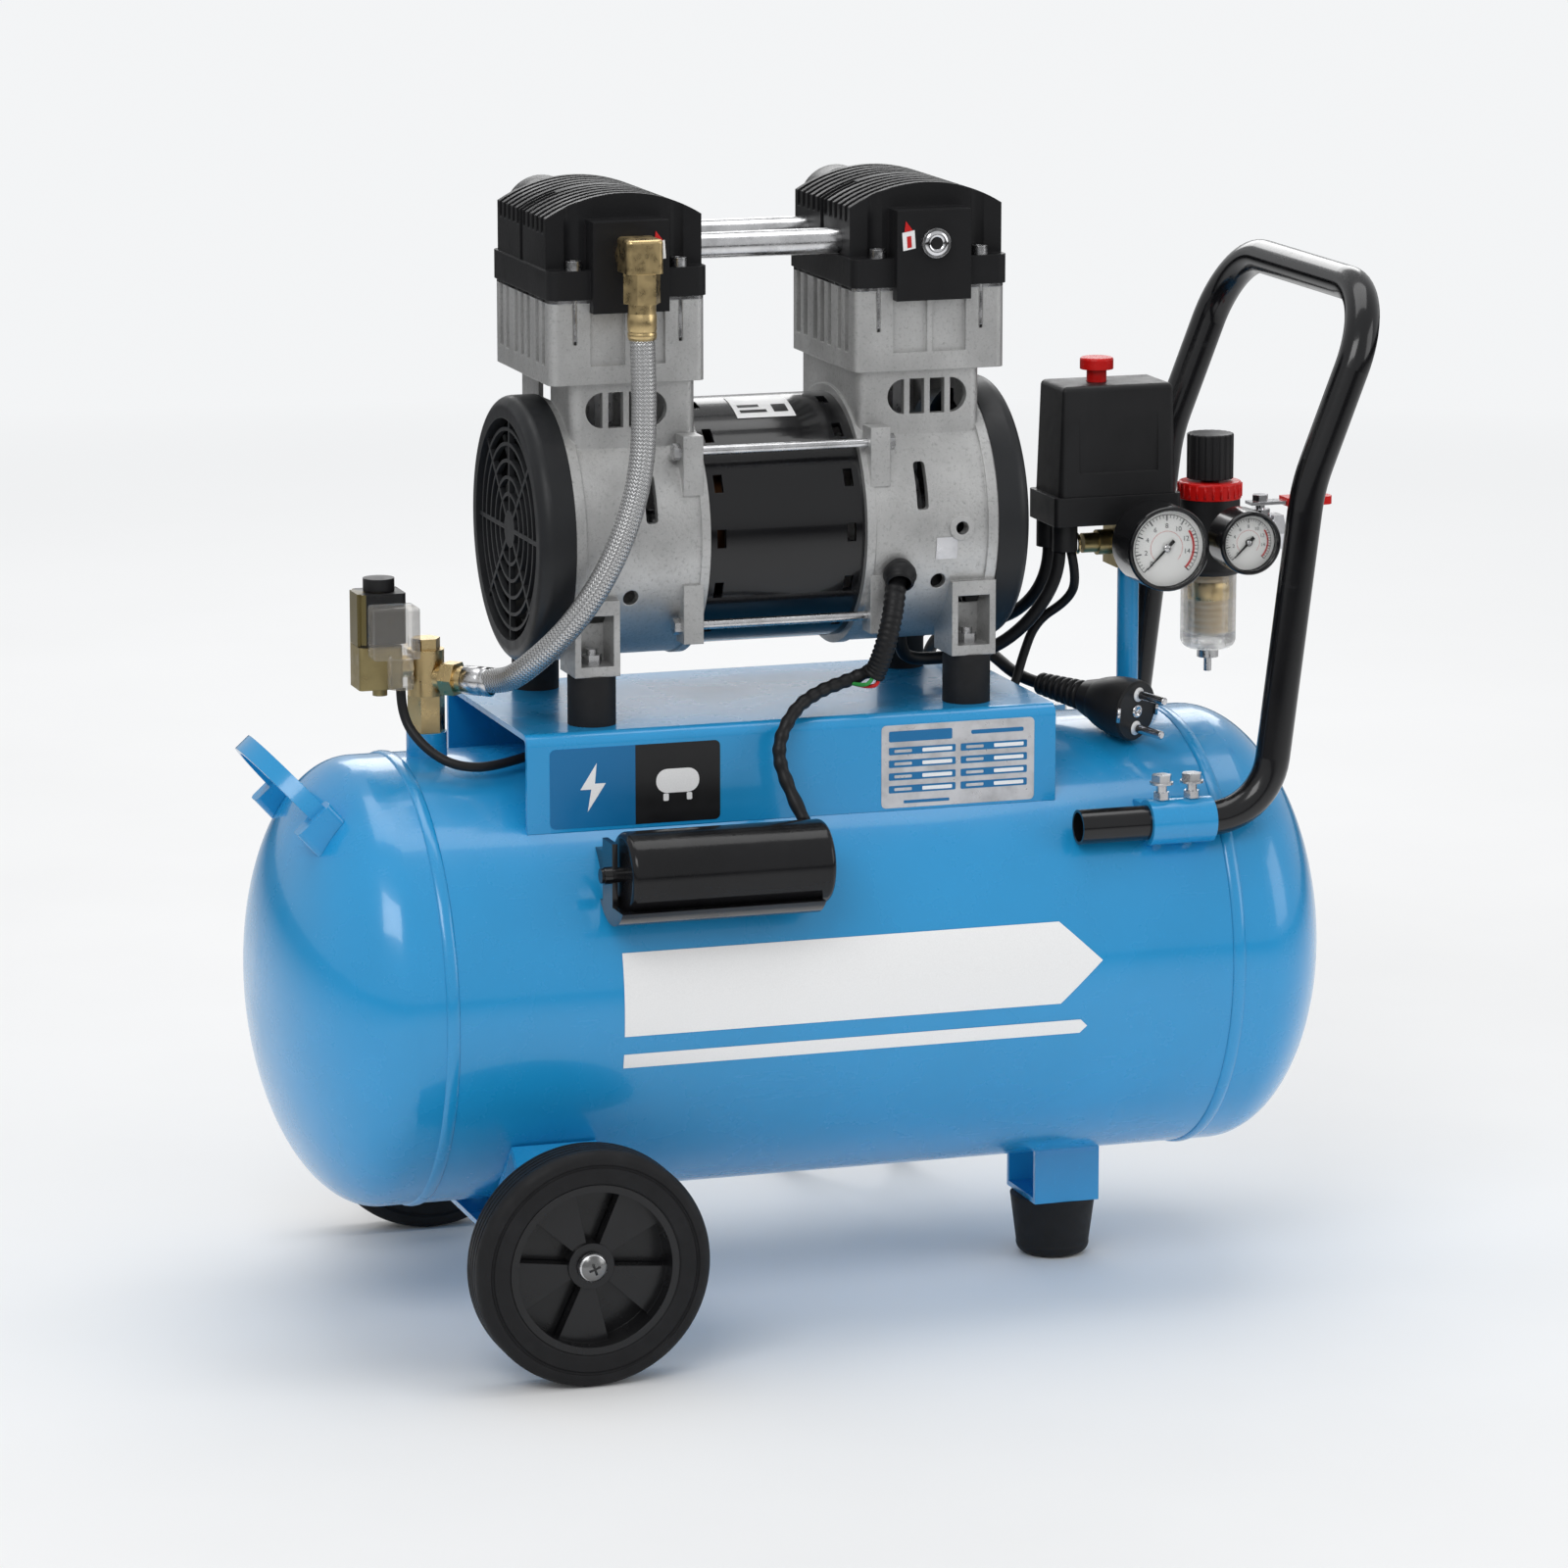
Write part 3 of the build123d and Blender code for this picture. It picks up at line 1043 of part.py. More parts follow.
needle_large_part = needle(riser_x, gauge_z, 16.0)
needle_large_part.label = "needle_large"
export_step(needle_large_part, "parts/needle_large.step")

needle_small_part = needle(regulator_x, gauge_z + 0.6, 11.5)
needle_small_part.label = "needle_small"
export_step(needle_small_part, "parts/needle_small.step")

# ---- regulator and its filter bowl ----------------------------------------------------------
bowl_r = 15.5
bowl_z0 = 341.0
bowl_z1 = 386.0

with BuildPart() as regulator_body:
    z_cylinder(17, bowl_z1, 426, regulator_x)
    z_cylinder(17.6, 426, 435.5, regulator_x)
    fillet(edges().filter_by(GeomType.CIRCLE).group_by(Axis.Z)[-1], radius=1.5)
    z_cylinder(5, 435.5, 446, regulator_x)
    z_cylinder(bowl_r - 3, bowl_z1 - 1, bowl_z1 + 12, regulator_x, 0, Mode.SUBTRACT)
    z_cylinder(4, bowl_z0 + 8, bowl_z1 + 13, regulator_x)
    x_cylinder(8, regulator_x + 14, tank_x + 269.5, 0, body_z)
regulator_body.part.label = "regulator_body"
export_step(regulator_body.part, "parts/regulator_body.step")

with BuildPart() as regulator_knob:
    with BuildSketch(Plane.XY.offset(437)):
        with Locations((regulator_x, 0)):
            Circle(13)
            with PolarLocations(13.4, 20):
                Circle(1.0, mode=Mode.SUBTRACT)
    extrude(amount=25)
    fillet(edges().group_by(Axis.Z)[-1], radius=0.8)
    z_cylinder(5 + running_gap, 436, 447, regulator_x, 0, Mode.SUBTRACT)
regulator_knob.part.label = "regulator_knob"
export_step(regulator_knob.part, "parts/regulator_knob.step")

with BuildPart() as filter_bowl:
    z_cylinder(bowl_r, bowl_z0, bowl_z1, regulator_x)
    fillet(edges().filter_by(GeomType.CIRCLE).group_by(Axis.Z)[0], radius=6)
    z_cylinder(bowl_r - 1.8, bowl_z0 + 2, bowl_z1 + 1, regulator_x, 0, Mode.SUBTRACT)
    z_cylinder(6, bowl_z0 - 5, bowl_z0 + 3, regulator_x)
    z_cylinder(2.2, bowl_z0 - 13, bowl_z0, regulator_x)
filter_bowl.part.label = "filter_bowl"
export_step(filter_bowl.part, "parts/filter_bowl.step")

# ---- ball valve, with its lever in line with the flow when open -------------------------------
outlet_x0 = tank_x + 269.5
outlet_x1 = tank_x + 291.5
stem_x = tank_x + 279.5
ball_r = 6.0
outlet_r = 5.7
stem_r = 2.6

with BuildPart() as ball_valve:
    x_cylinder(9, outlet_x0, outlet_x1, 0, body_z)
    for start in (outlet_x0, outlet_x1 - 6):
        with BuildSketch(Plane.YZ.offset(start)):
            with Locations((0, body_z)):
                RegularPolygon(19 / sqrt(3), 6)
        extrude(amount=6)
    z_cylinder(5.5, body_z, body_z + 13, stem_x)
    with Locations((stem_x, 0, body_z)):
        Sphere(ball_r + running_gap, mode=Mode.SUBTRACT)
    x_cylinder(3.5, outlet_x0 - 1, outlet_x1 + 1, 0, body_z, Mode.SUBTRACT)
    x_cylinder(outlet_r, outlet_x1 - 5.5, outlet_x1 + 1, 0, body_z, Mode.SUBTRACT)
    z_cylinder(stem_r + running_gap, body_z, body_z + 14, stem_x, 0, Mode.SUBTRACT)
ball_valve.part.label = "ball_valve"
export_step(ball_valve.part, "parts/ball_valve.step")

lever_z = 420.5

with BuildPart() as valve_lever:
    with Locations((stem_x, 0, body_z)):
        Sphere(ball_r)
    x_cylinder(3.5, stem_x - 10, stem_x + 10, 0, body_z, Mode.SUBTRACT)
    z_cylinder(stem_r, body_z + 4, lever_z + 4, stem_x)
    block(stem_x - 7, stem_x + 17, -5, 5, lever_z, lever_z + 1.8)
    hex_bar(8, lever_z + 1.8, lever_z + 5.5, stem_x)
    block(stem_x + 14, tank_x + 321.5, -6.5, 6.5, lever_z - 1.2, lever_z + 3.4)
    fillet(edges().filter_by(Axis.Z).group_by(Axis.X)[-1], radius=5)
valve_lever.part.label = "valve_lever"
export_step(valve_lever.part, "parts/valve_lever.step")

# ---- mains lead: two runs, the coil between them and the plug ---------------------------------
coil_x = tank_x + 105.0
coil_y = 290.0
coil_mean = 38.0
coil_h = 15.0
coil_lead = 30.0             # flat start of the coil, ahead of its middle
floor_z = 3.8

down_points = [
    (tank_x + 157.5, 9, gland_z0),
    (tank_x + 157.5, 9, 386),
    (tank_x + 146, 22, 363),
    (tank_x + 128, 49, 352),
    (tank_x + 112.5, 84, 349),
    (tank_x + 109, 112, 328),
    (tank_x + 108.5, 124, 288),
    (tank_x + 108, 132, 237),
    (tank_x + 105, 137, 177),
    (tank_x + 99, 139, 115),
    (tank_x + 88, 150, 60),
    (tank_x + 76, 194, 20),
    (coil_x - coil_mean, 234, floor_z),
    (coil_x - coil_mean, coil_y - coil_lead, floor_z),
]
up_points = [
    (coil_x + coil_mean, coil_y - coil_lead, floor_z),
    (coil_x + coil_mean, 234, floor_z),
    (tank_x + 139, 194, 20),
    (tank_x + 131, 152, 59),
    (tank_x + 124, 141, 114),
    (tank_x + 121.5, 138, 174),
    (tank_x + 121.5, 132, 232),
    (tank_x + 121, 122, 290),
    (tank_x + 121.5, 110, 330),
    (tank_x + 127, 80, 347),
    (tank_x + 138.5, 46, 335),
    (tank_x + 144.25, 21.3, 326.6),
    (tank_x + 152, 8, 325),
]
down_run = turned_tube(down_points, cord_d / 2, "mains lead down")
up_run = turned_tube(up_points, cord_d / 2, "mains lead up")
power_cord_part = Compound(children=[down_run, up_run])
power_cord_part.label = "power_cord"
export_step(power_cord_part, "parts/power_cord.step")

with BuildPart() as cord_coil:
    z_cylinder(coil_mean + 8, 0.3, coil_h + 0.3, coil_x, coil_y)
    z_cylinder(coil_mean - 8, 0, coil_h + 1, coil_x, coil_y, Mode.SUBTRACT)
    fillet(edges().filter_by(GeomType.CIRCLE), radius=3)
    for side in (-1, 1):
        middle = coil_x + side * coil_mean
        block(middle - 3.5, middle + 3.5, coil_y - coil_lead, coil_y, 0.3, 7.3)
cord_coil.part.label = "cord_coil"
export_step(cord_coil.part, "parts/cord_coil.step")

plug_axis = Vector(0.5, -0.86, -0.1).normalized()
plug_back = Vector(tank_x + 152, 8, 325)
plug_length = 70.0
plug_plane = Plane(origin=plug_back, x_dir=(0.86, 0.5, 0), z_dir=plug_axis)
plug_side = Plane(origin=plug_back, x_dir=plug_plane.x_dir, z_dir=plug_plane.x_dir.cross(plug_axis))
relief_l = 34.0

with BuildPart() as plug:
    with BuildSketch(plug_side):
        with BuildLine():
            Polyline((0, 0), (4.6, 0), (7, relief_l), (9.5, relief_l), (12, relief_l + 8))
            Spline((12, relief_l + 8), (16, relief_l + 20), (17, relief_l + 30), tangents=((0.5, 1), (0, 1)))
            Polyline((17, relief_l + 30), (17, plug_length - 1), (16, plug_length), (0, plug_length), (0, 0))
        make_face()
    revolve(axis=Axis(plug_back, plug_axis))
    for offset in (-9.5, 9.5):
        with BuildSketch(plug_plane.offset(plug_length)):
            with Locations((0, offset)):
                Circle(2.4)
        extrude(amount=19)
    fillet(edges().filter_by(GeomType.CIRCLE).filter_by(lambda edge: abs(edge.radius - 2.4) < 0.01), radius=0.8)
plug.part.label = "plug"
export_step(plug.part, "parts/plug.step")
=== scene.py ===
"""Looks for a portable twin-piston air compressor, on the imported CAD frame.

Metres, +Z up, floor at Z = 0. Every length below is in metres unless its name says mm.
"""

from math import cos, pi, radians, sin, sqrt

import bpy
from mathutils import Matrix, Vector


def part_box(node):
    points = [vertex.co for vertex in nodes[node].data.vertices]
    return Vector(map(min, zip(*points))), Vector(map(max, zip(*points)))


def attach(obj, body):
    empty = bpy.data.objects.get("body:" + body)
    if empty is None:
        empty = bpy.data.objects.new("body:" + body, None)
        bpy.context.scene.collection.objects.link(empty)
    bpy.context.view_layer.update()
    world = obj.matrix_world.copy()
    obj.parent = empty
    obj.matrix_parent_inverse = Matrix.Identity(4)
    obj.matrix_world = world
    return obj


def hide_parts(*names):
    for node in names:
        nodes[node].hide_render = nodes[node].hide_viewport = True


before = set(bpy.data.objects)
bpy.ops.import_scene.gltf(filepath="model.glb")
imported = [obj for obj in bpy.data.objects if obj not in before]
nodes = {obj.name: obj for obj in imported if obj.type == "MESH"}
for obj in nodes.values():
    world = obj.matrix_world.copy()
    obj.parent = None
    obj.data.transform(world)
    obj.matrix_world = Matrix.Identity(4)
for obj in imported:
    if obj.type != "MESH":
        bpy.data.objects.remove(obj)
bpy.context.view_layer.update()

MM = 0.001
FRAME = "frame"              # the root body


# ---- places taken from the frame -------------------------------------------------------------
def middle(node):
    """The middle of a CAD node's box."""
    low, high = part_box(node)
    return (low + high) / 2


tank_low, tank_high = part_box("tank_barrel")
tank_x = middle("tank_barrel").x
tank_r = (tank_high.y - tank_low.y) / 2
tank_z = middle("tank_heads").z
saddle_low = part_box("motor_saddle")[0]
pump_x = middle("motor_shell").x
motor_z = middle("motor_shell").z
shell_r = (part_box("motor_shell")[1].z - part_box("motor_shell")[0].z) / 2
wheel_x = middle("front_tyre").x
wheel_z = middle("front_tyre").z
cord_d = 0.007


def at(x, y, z):
    """A point given in millimetres, with x from the middle of the tank."""
    return Vector((tank_x + x * MM, y * MM, z * MM))


# ---- camera ----------------------------------------------------------------------------------
view_azimuth = radians(18.0)
view_height = radians(11.6)
view_distance = 3.6153
aim = Vector((tank_x + 0.0003, 0.0, 0.2788))

camera_data = bpy.data.cameras.new("camera")
camera_data.lens = 151.13
camera_data.sensor_width = 36.0
camera = bpy.data.objects.new("camera", camera_data)
bpy.context.scene.collection.objects.link(camera)
flat = cos(view_height)
toward = Vector((-sin(view_azimuth) * flat, -cos(view_azimuth) * flat, sin(view_height)))
camera.location = aim + toward * view_distance
camera.rotation_euler = (-toward).to_track_quat("-Z", "Y").to_euler()
bpy.context.scene.camera = camera


# ---- material kit ----------------------------------------------------------------------------
class Shade:
    """One material's node tree, with short names for the nodes that every surface needs."""

    def __init__(self, name):
        self.material = bpy.data.materials.new(name)
        self.material.use_nodes = True
        self.tree = self.material.node_tree
        self.shader = self.tree.nodes["Principled BSDF"]
        self.place = self.tree.nodes.new("ShaderNodeTexCoord").outputs["Object"]

    def node(self, kind, **inputs):
        made = self.tree.nodes.new(kind)
        for key, value in inputs.items():
            socket = made.inputs[key.replace("_", " ")]
            if isinstance(value, bpy.types.NodeSocket):
                self.tree.links.new(value, socket)
            else:
                socket.default_value = value
        return made

    def set(self, **inputs):
        for key, value in inputs.items():
            socket = self.shader.inputs[key.replace("_", " ")]
            if isinstance(value, bpy.types.NodeSocket):
                self.tree.links.new(value, socket)
            else:
                socket.default_value = value

    def stretched(self, x, y, z):
        """Object coordinates scaled per axis."""
        return self.node("ShaderNodeMapping", Vector=self.place, Scale=(x, y, z)).outputs["Vector"]

    def noise(self, scale, detail=4.0, rough=0.55, vector=None):
        made = self.node("ShaderNodeTexNoise", Vector=vector or self.place, Scale=scale, Detail=detail,
                         Roughness=rough)
        return made.outputs["Fac"]

    def cells(self, scale, vector=None):
        return self.node("ShaderNodeTexVoronoi", Vector=vector or self.place, Scale=scale).outputs["Distance"]

    def span(self, value, low, high, to_low=0.0, to_high=1.0):
        """Map value from low..high to to_low..to_high, clamped."""
        made = self.node("ShaderNodeMapRange", Value=value)
        made.inputs["From Min"].default_value = low
        made.inputs["From Max"].default_value = high
        made.inputs["To Min"].default_value = to_low
        made.inputs["To Max"].default_value = to_high
        return made.outputs["Result"]

    def maths(self, kind, first, second=0.0):
        made = self.tree.nodes.new("ShaderNodeMath")
        made.operation = kind
        for socket, value in zip(made.inputs, (first, second)):
            if isinstance(value, bpy.types.NodeSocket):
                self.tree.links.new(value, socket)
            else:
                socket.default_value = value
        return made.outputs["Value"]

    def mix(self, factor, first, second):
        made = self.tree.nodes.new("ShaderNodeMix")
        made.data_type = "RGBA"
        sockets = [s for s in made.inputs if s.name in ("Factor", "A", "B") and s.type in ("VALUE", "RGBA")]
        wanted = [s for s in sockets if s.name == "Factor"][:1] + [s for s in sockets if s.type == "RGBA"]
        for socket, value in zip(wanted, (factor, first, second)):
            if isinstance(value, bpy.types.NodeSocket):
                self.tree.links.new(value, socket)
            else:
                socket.default_value = value
        return [s for s in made.outputs if s.type == "RGBA"][0]

    def bump(self, height, depth, strength=1.0, normal=None):
        made = self.node("ShaderNodeBump", Height=height, Strength=strength, Distance=depth)
        if normal is not None:
            self.tree.links.new(normal, made.inputs["Normal"])
        return made.outputs["Normal"]

    def split(self, vector):
        return self.node("ShaderNodeSeparateXYZ", Vector=vector).outputs

    def rounded(self, radius):
        """Edges that catch the light as if they had this radius."""
        made = self.node("ShaderNodeBevel", Radius=radius)
        made.samples = 4
        return made.outputs["Normal"]

    def facing_up(self):
        geometry = self.tree.nodes.new("ShaderNodeNewGeometry")
        return self.split(geometry.outputs["Normal"])["Z"]


def colour(r, g, b):
    """An sRGB colour, 0 to 255, as the linear values that shaders take."""
    def linear(c):
        c = c / 255
        return c / 12.92 if c <= 0.04045 else ((c + 0.055) / 1.055) ** 2.4
    return (linear(r), linear(g), linear(b), 1.0)


def scaled(c, factor):
    return tuple(min(1.0, v * factor) for v in c[:3]) + (1.0,)


def painted(name, base, rough=0.28, peel=0.5, dust=0.10, round_mm=0.6, coat=0.5, shine=0.5):
    """Sprayed or powder-coated metal: slight orange peel, uneven gloss, fine scuffs and settled dust."""
    s = Shade(name)
    cloud = s.noise(6.0, 5.0)
    tone = s.mix(s.span(cloud, 0.3, 0.7), scaled(base, 0.90), scaled(base, 1.07))
    speck = s.span(s.noise(900.0, 2.0), 0.66, 0.74)
    tone = s.mix(s.maths("MULTIPLY", speck, 0.25), tone, scaled(base, 1.5))
    settled = s.maths("MULTIPLY", s.span(s.facing_up(), 0.5, 1.0), s.span(s.noise(40.0, 6.0), 0.45, 0.75))
    tone = s.mix(s.maths("MULTIPLY", settled, dust), tone, colour(190, 188, 182))
    scuff = s.span(s.noise(60.0, 8.0, 0.7, s.stretched(0.15, 1.0, 1.0)), 0.62, 0.70)
    uneven = s.span(s.noise(25.0, 5.0), 0.3, 0.7, rough * 0.8, rough * 1.25)
    s.set(Base_Color=tone, Roughness=s.maths("ADD", uneven, s.maths("MULTIPLY", scuff, 0.12)))
    s.set(Coat_Weight=coat, Coat_Roughness=0.08, Specular_IOR_Level=shine)
    s.set(Normal=s.bump(s.noise(420.0, 2.0), 0.00006 * peel, 0.6, s.rounded(round_mm * MM)))
    return s.material


def moulded(name, base, rough=0.45, grain=1800.0, depth=0.00004, dust=0.03, round_mm=0.5, shine=0.3):
    """Moulded plastic: spark-eroded grain, faint flow marks and a little dust on top."""
    s = Shade(name)
    flow = s.noise(18.0, 6.0, 0.6, s.stretched(1.0, 1.0, 0.35))
    tone = s.mix(s.span(flow, 0.35, 0.7), scaled(base, 0.85), scaled(base, 1.25))
    settled = s.maths("MULTIPLY", s.span(s.facing_up(), 0.4, 1.0), s.span(s.noise(55.0, 6.0), 0.4, 0.75))
    tone = s.mix(s.maths("MULTIPLY", settled, dust), tone, colour(170, 168, 164))
    s.set(Base_Color=tone, Roughness=s.span(s.noise(70.0, 6.0), 0.3, 0.7, rough * 0.8, min(1.0, rough * 1.2)))
    s.set(Specular_IOR_Level=shine)
    s.set(Normal=s.bump(s.noise(grain, 3.0), depth, 0.7, s.rounded(round_mm * MM)))
    return s.material


def rubbery(name, base, rough=0.62):
    """Moulded rubber: matt, faintly pitted, with scuffed grey patches."""
    s = Shade(name)
    scuffed = s.span(s.noise(35.0, 8.0, 0.65), 0.52, 0.72)
    tone = s.mix(s.maths("MULTIPLY", scuffed, 0.35), base, scaled(base, 2.4))
    s.set(Base_Color=tone, Roughness=s.span(s.noise(90.0, 5.0), 0.3, 0.7, rough * 0.85, rough * 1.15))
    s.set(Specular_IOR_Level=0.25)
    s.set(Normal=s.bump(s.noise(1300.0, 4.0), 0.00006, 0.8, s.rounded(0.6 * MM)))
    return s.material


def plated(name, base, rough=0.25, pits=0.4, metallic=1.0, round_mm=0.35, dull=0.72):
    """Plated or machined metal: bright, with turning marks, stains and small pits."""
    s = Shade(name)
    stain = s.span(s.noise(70.0, 7.0, 0.6), 0.40, 0.72)
    tone = s.mix(stain, scaled(base, 1.08), scaled(base, dull))
    turning = s.noise(900.0, 3.0, 0.6, s.stretched(0.2, 0.2, 1.0))
    s.set(Base_Color=tone, Metallic=metallic)
    s.set(Roughness=s.span(s.noise(160.0, 6.0), 0.3, 0.7, rough * 0.7, rough * 1.5))
    s.set(Normal=s.bump(turning, 0.00003 * pits, 0.6, s.rounded(round_mm * MM)))
    return s.material


def cast_metal(name, base, rough=0.42):
    """Sand-cast aluminium under silver paint: coarse grain, darker blotches, painted glints and painted shade in the
    grain's pits.
    """
    s = Shade(name)
    grain = s.noise(520.0, 5.0, 0.65)
    hollow = s.span(s.noise(30.0, 6.0), 0.35, 0.7)
    tone = s.mix(hollow, scaled(base, 0.82), scaled(base, 1.10))
    # bright specks in the colour: painted glints of sparkle
    painted_glint = s.span(s.cells(900.0), 0.0, 0.22, 1.0, 0.0)
    tone = s.mix(s.maths("MULTIPLY", painted_glint, 0.45), tone, scaled(base, 1.6))
    # darker where the grain's bump is low: painted shade in its pits
    painted_pit_shade = s.span(grain, 0.28, 0.46, 1.0, 0.0)
    tone = s.mix(s.maths("MULTIPLY", painted_pit_shade, 0.55), tone, scaled(base, 0.45))
    s.set(Base_Color=tone, Metallic=0.72)
    s.set(Roughness=s.span(grain, 0.3, 0.7, rough * 1.2, rough * 0.8))
    s.set(Normal=s.bump(grain, 0.00035, 0.85, s.rounded(1.0 * MM)))
    return s.material


def clear_plastic(name, tint, rough=0.06, strength=0.96, opacity=1.0):
    """Clear moulded plastic, with a little haze and ripple."""
    s = Shade(name)
    haze = s.span(s.noise(80.0, 6.0), 0.5, 0.8, rough, rough + 0.18)
    tone = s.mix(s.span(s.noise(30.0, 3.0), 0.3, 0.7), tint, scaled(tint, 0.93))
    s.set(Base_Color=tone, Roughness=haze, Transmission_Weight=strength, IOR=1.42, Alpha=opacity)
    s.set(Normal=s.bump(s.noise(120.0, 2.0), 0.00005, 0.4))
    return s.material


def ink(name, base, rough=0.35):
    """Printed film or ink: faint print mottle, slightly raised."""
    s = Shade(name)
    mottle = s.span(s.noise(1500.0, 3.0), 0.35, 0.7)
    tone = s.mix(s.maths("MULTIPLY", mottle, 0.5), base, scaled(base, 0.88))
    s.set(Base_Color=tone, Roughness=s.span(s.noise(120.0, 5.0), 0.3, 0.7, rough * 0.8, rough * 1.2))
    s.set(Normal=s.bump(s.noise(300.0, 3.0), 0.00002, 0.5))
    return s.material


def braid(name):
    """Woven steel wire, from the tube's own length and turn coordinates."""
    s = Shade(name)
    uv = s.tree.nodes.new("ShaderNodeTexCoord").outputs["UV"]
    parts = s.split(uv)
    strands = 22.0
    pitch = 480.0
    around = s.maths("MULTIPLY", parts["X"], strands)
    along = s.maths("MULTIPLY", parts["Y"], pitch)
    one = s.maths("ADD", around, along)
    two = s.maths("SUBTRACT", around, along)
    wave_one = s.maths("ABSOLUTE", s.maths("SINE", s.maths("MULTIPLY", one, pi)))
    wave_two = s.maths("ABSOLUTE", s.maths("SINE", s.maths("MULTIPLY", two, pi)))
    under = s.maths("GREATER_THAN", s.maths("SINE", s.maths("MULTIPLY", s.maths("ADD", one, two), pi)), 0.0)
    over = s.maths("SUBTRACT", 1.0, under)
    height = s.maths("ADD", s.maths("MULTIPLY", wave_one, under), s.maths("MULTIPLY", wave_two, over))
    wires = s.noise(2600.0, 2.0)
    # darker in the grooves between the wires, where the weave is lowest: painted shade
    shade = s.mix(s.span(height, 0.0, 0.75), (0.07, 0.07, 0.072, 1), (0.62, 0.62, 0.62, 1))
    tone = s.mix(s.span(wires, 0.45, 0.7, 0.0, 0.5), shade, (0.22, 0.22, 0.23, 1))
    s.set(Base_Color=tone, Metallic=0.9, Roughness=s.span(height, 0.0, 1.0, 0.55, 0.25))
    s.set(Normal=s.bump(height, 0.00025, 0.8))
    return s.material


def laminated(name):
    """A stack of thin steel sheets, edges out."""
    s = Shade(name)
    across = s.split(s.place)["X"]
    sheet = s.maths("SINE", s.maths("MULTIPLY", across, 2 * pi / 0.0008))
    tone = s.mix(s.span(sheet, -0.4, 0.6), (0.09, 0.085, 0.08, 1), (0.30, 0.29, 0.28, 1))
    tone = s.mix(s.span(s.noise(60.0, 6.0), 0.5, 0.75, 0.0, 0.6), tone, (0.22, 0.10, 0.05, 1))
    s.set(Base_Color=tone, Metallic=0.8, Roughness=s.span(s.noise(120.0), 0.3, 0.7, 0.35, 0.6))
    s.set(Normal=s.bump(sheet, 0.00008, 0.8))
    return s.material


BLUE = colour(30, 152, 213)
BLACK = (0.006, 0.006, 0.007, 1.0)
mat = {
    "blue": painted("tank_paint", BLUE, rough=0.26, dust=0.03, coat=0.55),
    "black_paint": painted("black_enamel", BLACK, rough=0.20, dust=0.02, coat=0.4, shine=0.3),
    "black_heads": painted("black_heads", (0.012, 0.012, 0.013, 1), rough=0.45, peel=2.5, dust=0.0, coat=0.0,
                           round_mm=1.0, shine=0.2),
    "cast": cast_metal("cast_silver", (0.54, 0.54, 0.535, 1)),
    "zinc": plated("bright_zinc", (0.66, 0.66, 0.67, 1), 0.24),
    "steel": plated("ground_steel", (0.62, 0.62, 0.63, 1), 0.20),
    "tube": plated("drawn_tube", (0.68, 0.68, 0.69, 1), 0.22, pits=0.3),
    "brass": plated("worn_brass", (0.62, 0.47, 0.24, 1), 0.28, pits=0.8, dull=0.9),
    "dark_brass": plated("dark_brass", (0.36, 0.29, 0.14, 1), 0.34, pits=0.8, dull=0.9),
    "chrome": plated("nickel", (0.72, 0.72, 0.74, 1), 0.12, pits=0.2),
    "stack": laminated("lamination_stack"),
    "copper": plated("copper_winding", (0.16, 0.07, 0.03, 1), 0.40, pits=1.2),
    "piston": plated("machined_piston", (0.60, 0.60, 0.61, 1), 0.3),
    "tyre": rubbery("tyre_rubber", (0.009, 0.009, 0.010, 1)),
    "rubber": rubbery("mount_rubber", (0.013, 0.013, 0.014, 1)),
    "rim": moulded("rim_plastic", (0.007, 0.007, 0.008, 1), rough=0.24, grain=900.0, shine=0.4),
    "fan": moulded("fan_plastic", (0.016, 0.017, 0.019, 1), rough=0.42),
    "switch": moulded("switch_plastic", (0.014, 0.014, 0.015, 1), rough=0.42, grain=2400.0, depth=0.00006,
                      round_mm=0.8),
    "can": moulded("can_sleeve", (0.009, 0.009, 0.010, 1), rough=0.16, grain=350.0, depth=0.00005, dust=0.03),
    "lead": rubbery("lead_sheath", (0.011, 0.011, 0.012, 1), 0.42),
    "plug": moulded("plug_plastic", (0.012, 0.012, 0.013, 1), rough=0.40),
    "red": moulded("red_plastic", colour(205, 24, 22), rough=0.28, dust=0.02),
    "red_wire": rubbery("red_wire", colour(196, 32, 28), 0.4),
    "green_wire": rubbery("green_wire", colour(52, 150, 70), 0.4),
    "yoke": painted("olive_yoke", colour(96, 84, 40), rough=0.35, coat=0.2),
    "clear": clear_plastic("clear_bowl", (0.93, 0.93, 0.92, 1), opacity=0.5),
    "smoked": clear_plastic("clear_connector", (0.80, 0.76, 0.70, 1), 0.08, 0.80, opacity=0.45),
    "lens": clear_plastic("gauge_lens", (0.97, 0.98, 0.98, 1), 0.02, 1.0, opacity=0.15),
    "cream": rubbery("filter_element", colour(226, 205, 172), 0.7),
    "white": ink("white_print", (0.95, 0.95, 0.95, 1)),
    # black ink for print, also used as painted shade in the screw recesses and the plug's socket
    "ink_and_shade_black": ink("black_ink_and_painted_shade", (0.008, 0.008, 0.009, 1)),
    "print_blue": ink("blue_print", colour(14, 112, 168)),
    "print_red": ink("red_print", colour(200, 30, 30)),
    "dark_screw": plated("dark_screw", (0.20, 0.20, 0.20, 1), 0.22),
    "silver_foil": plated("silver_foil", (0.66, 0.66, 0.68, 1), 0.34, pits=0.3, metallic=0.6),
    "dial": ink("dial_card", (0.92, 0.92, 0.90, 1)),
    "needle": painted("needle_paint", (0.01, 0.01, 0.01, 1), rough=0.4, coat=0.0, round_mm=0.1),
    "braid": braid("wire_braid"),
}


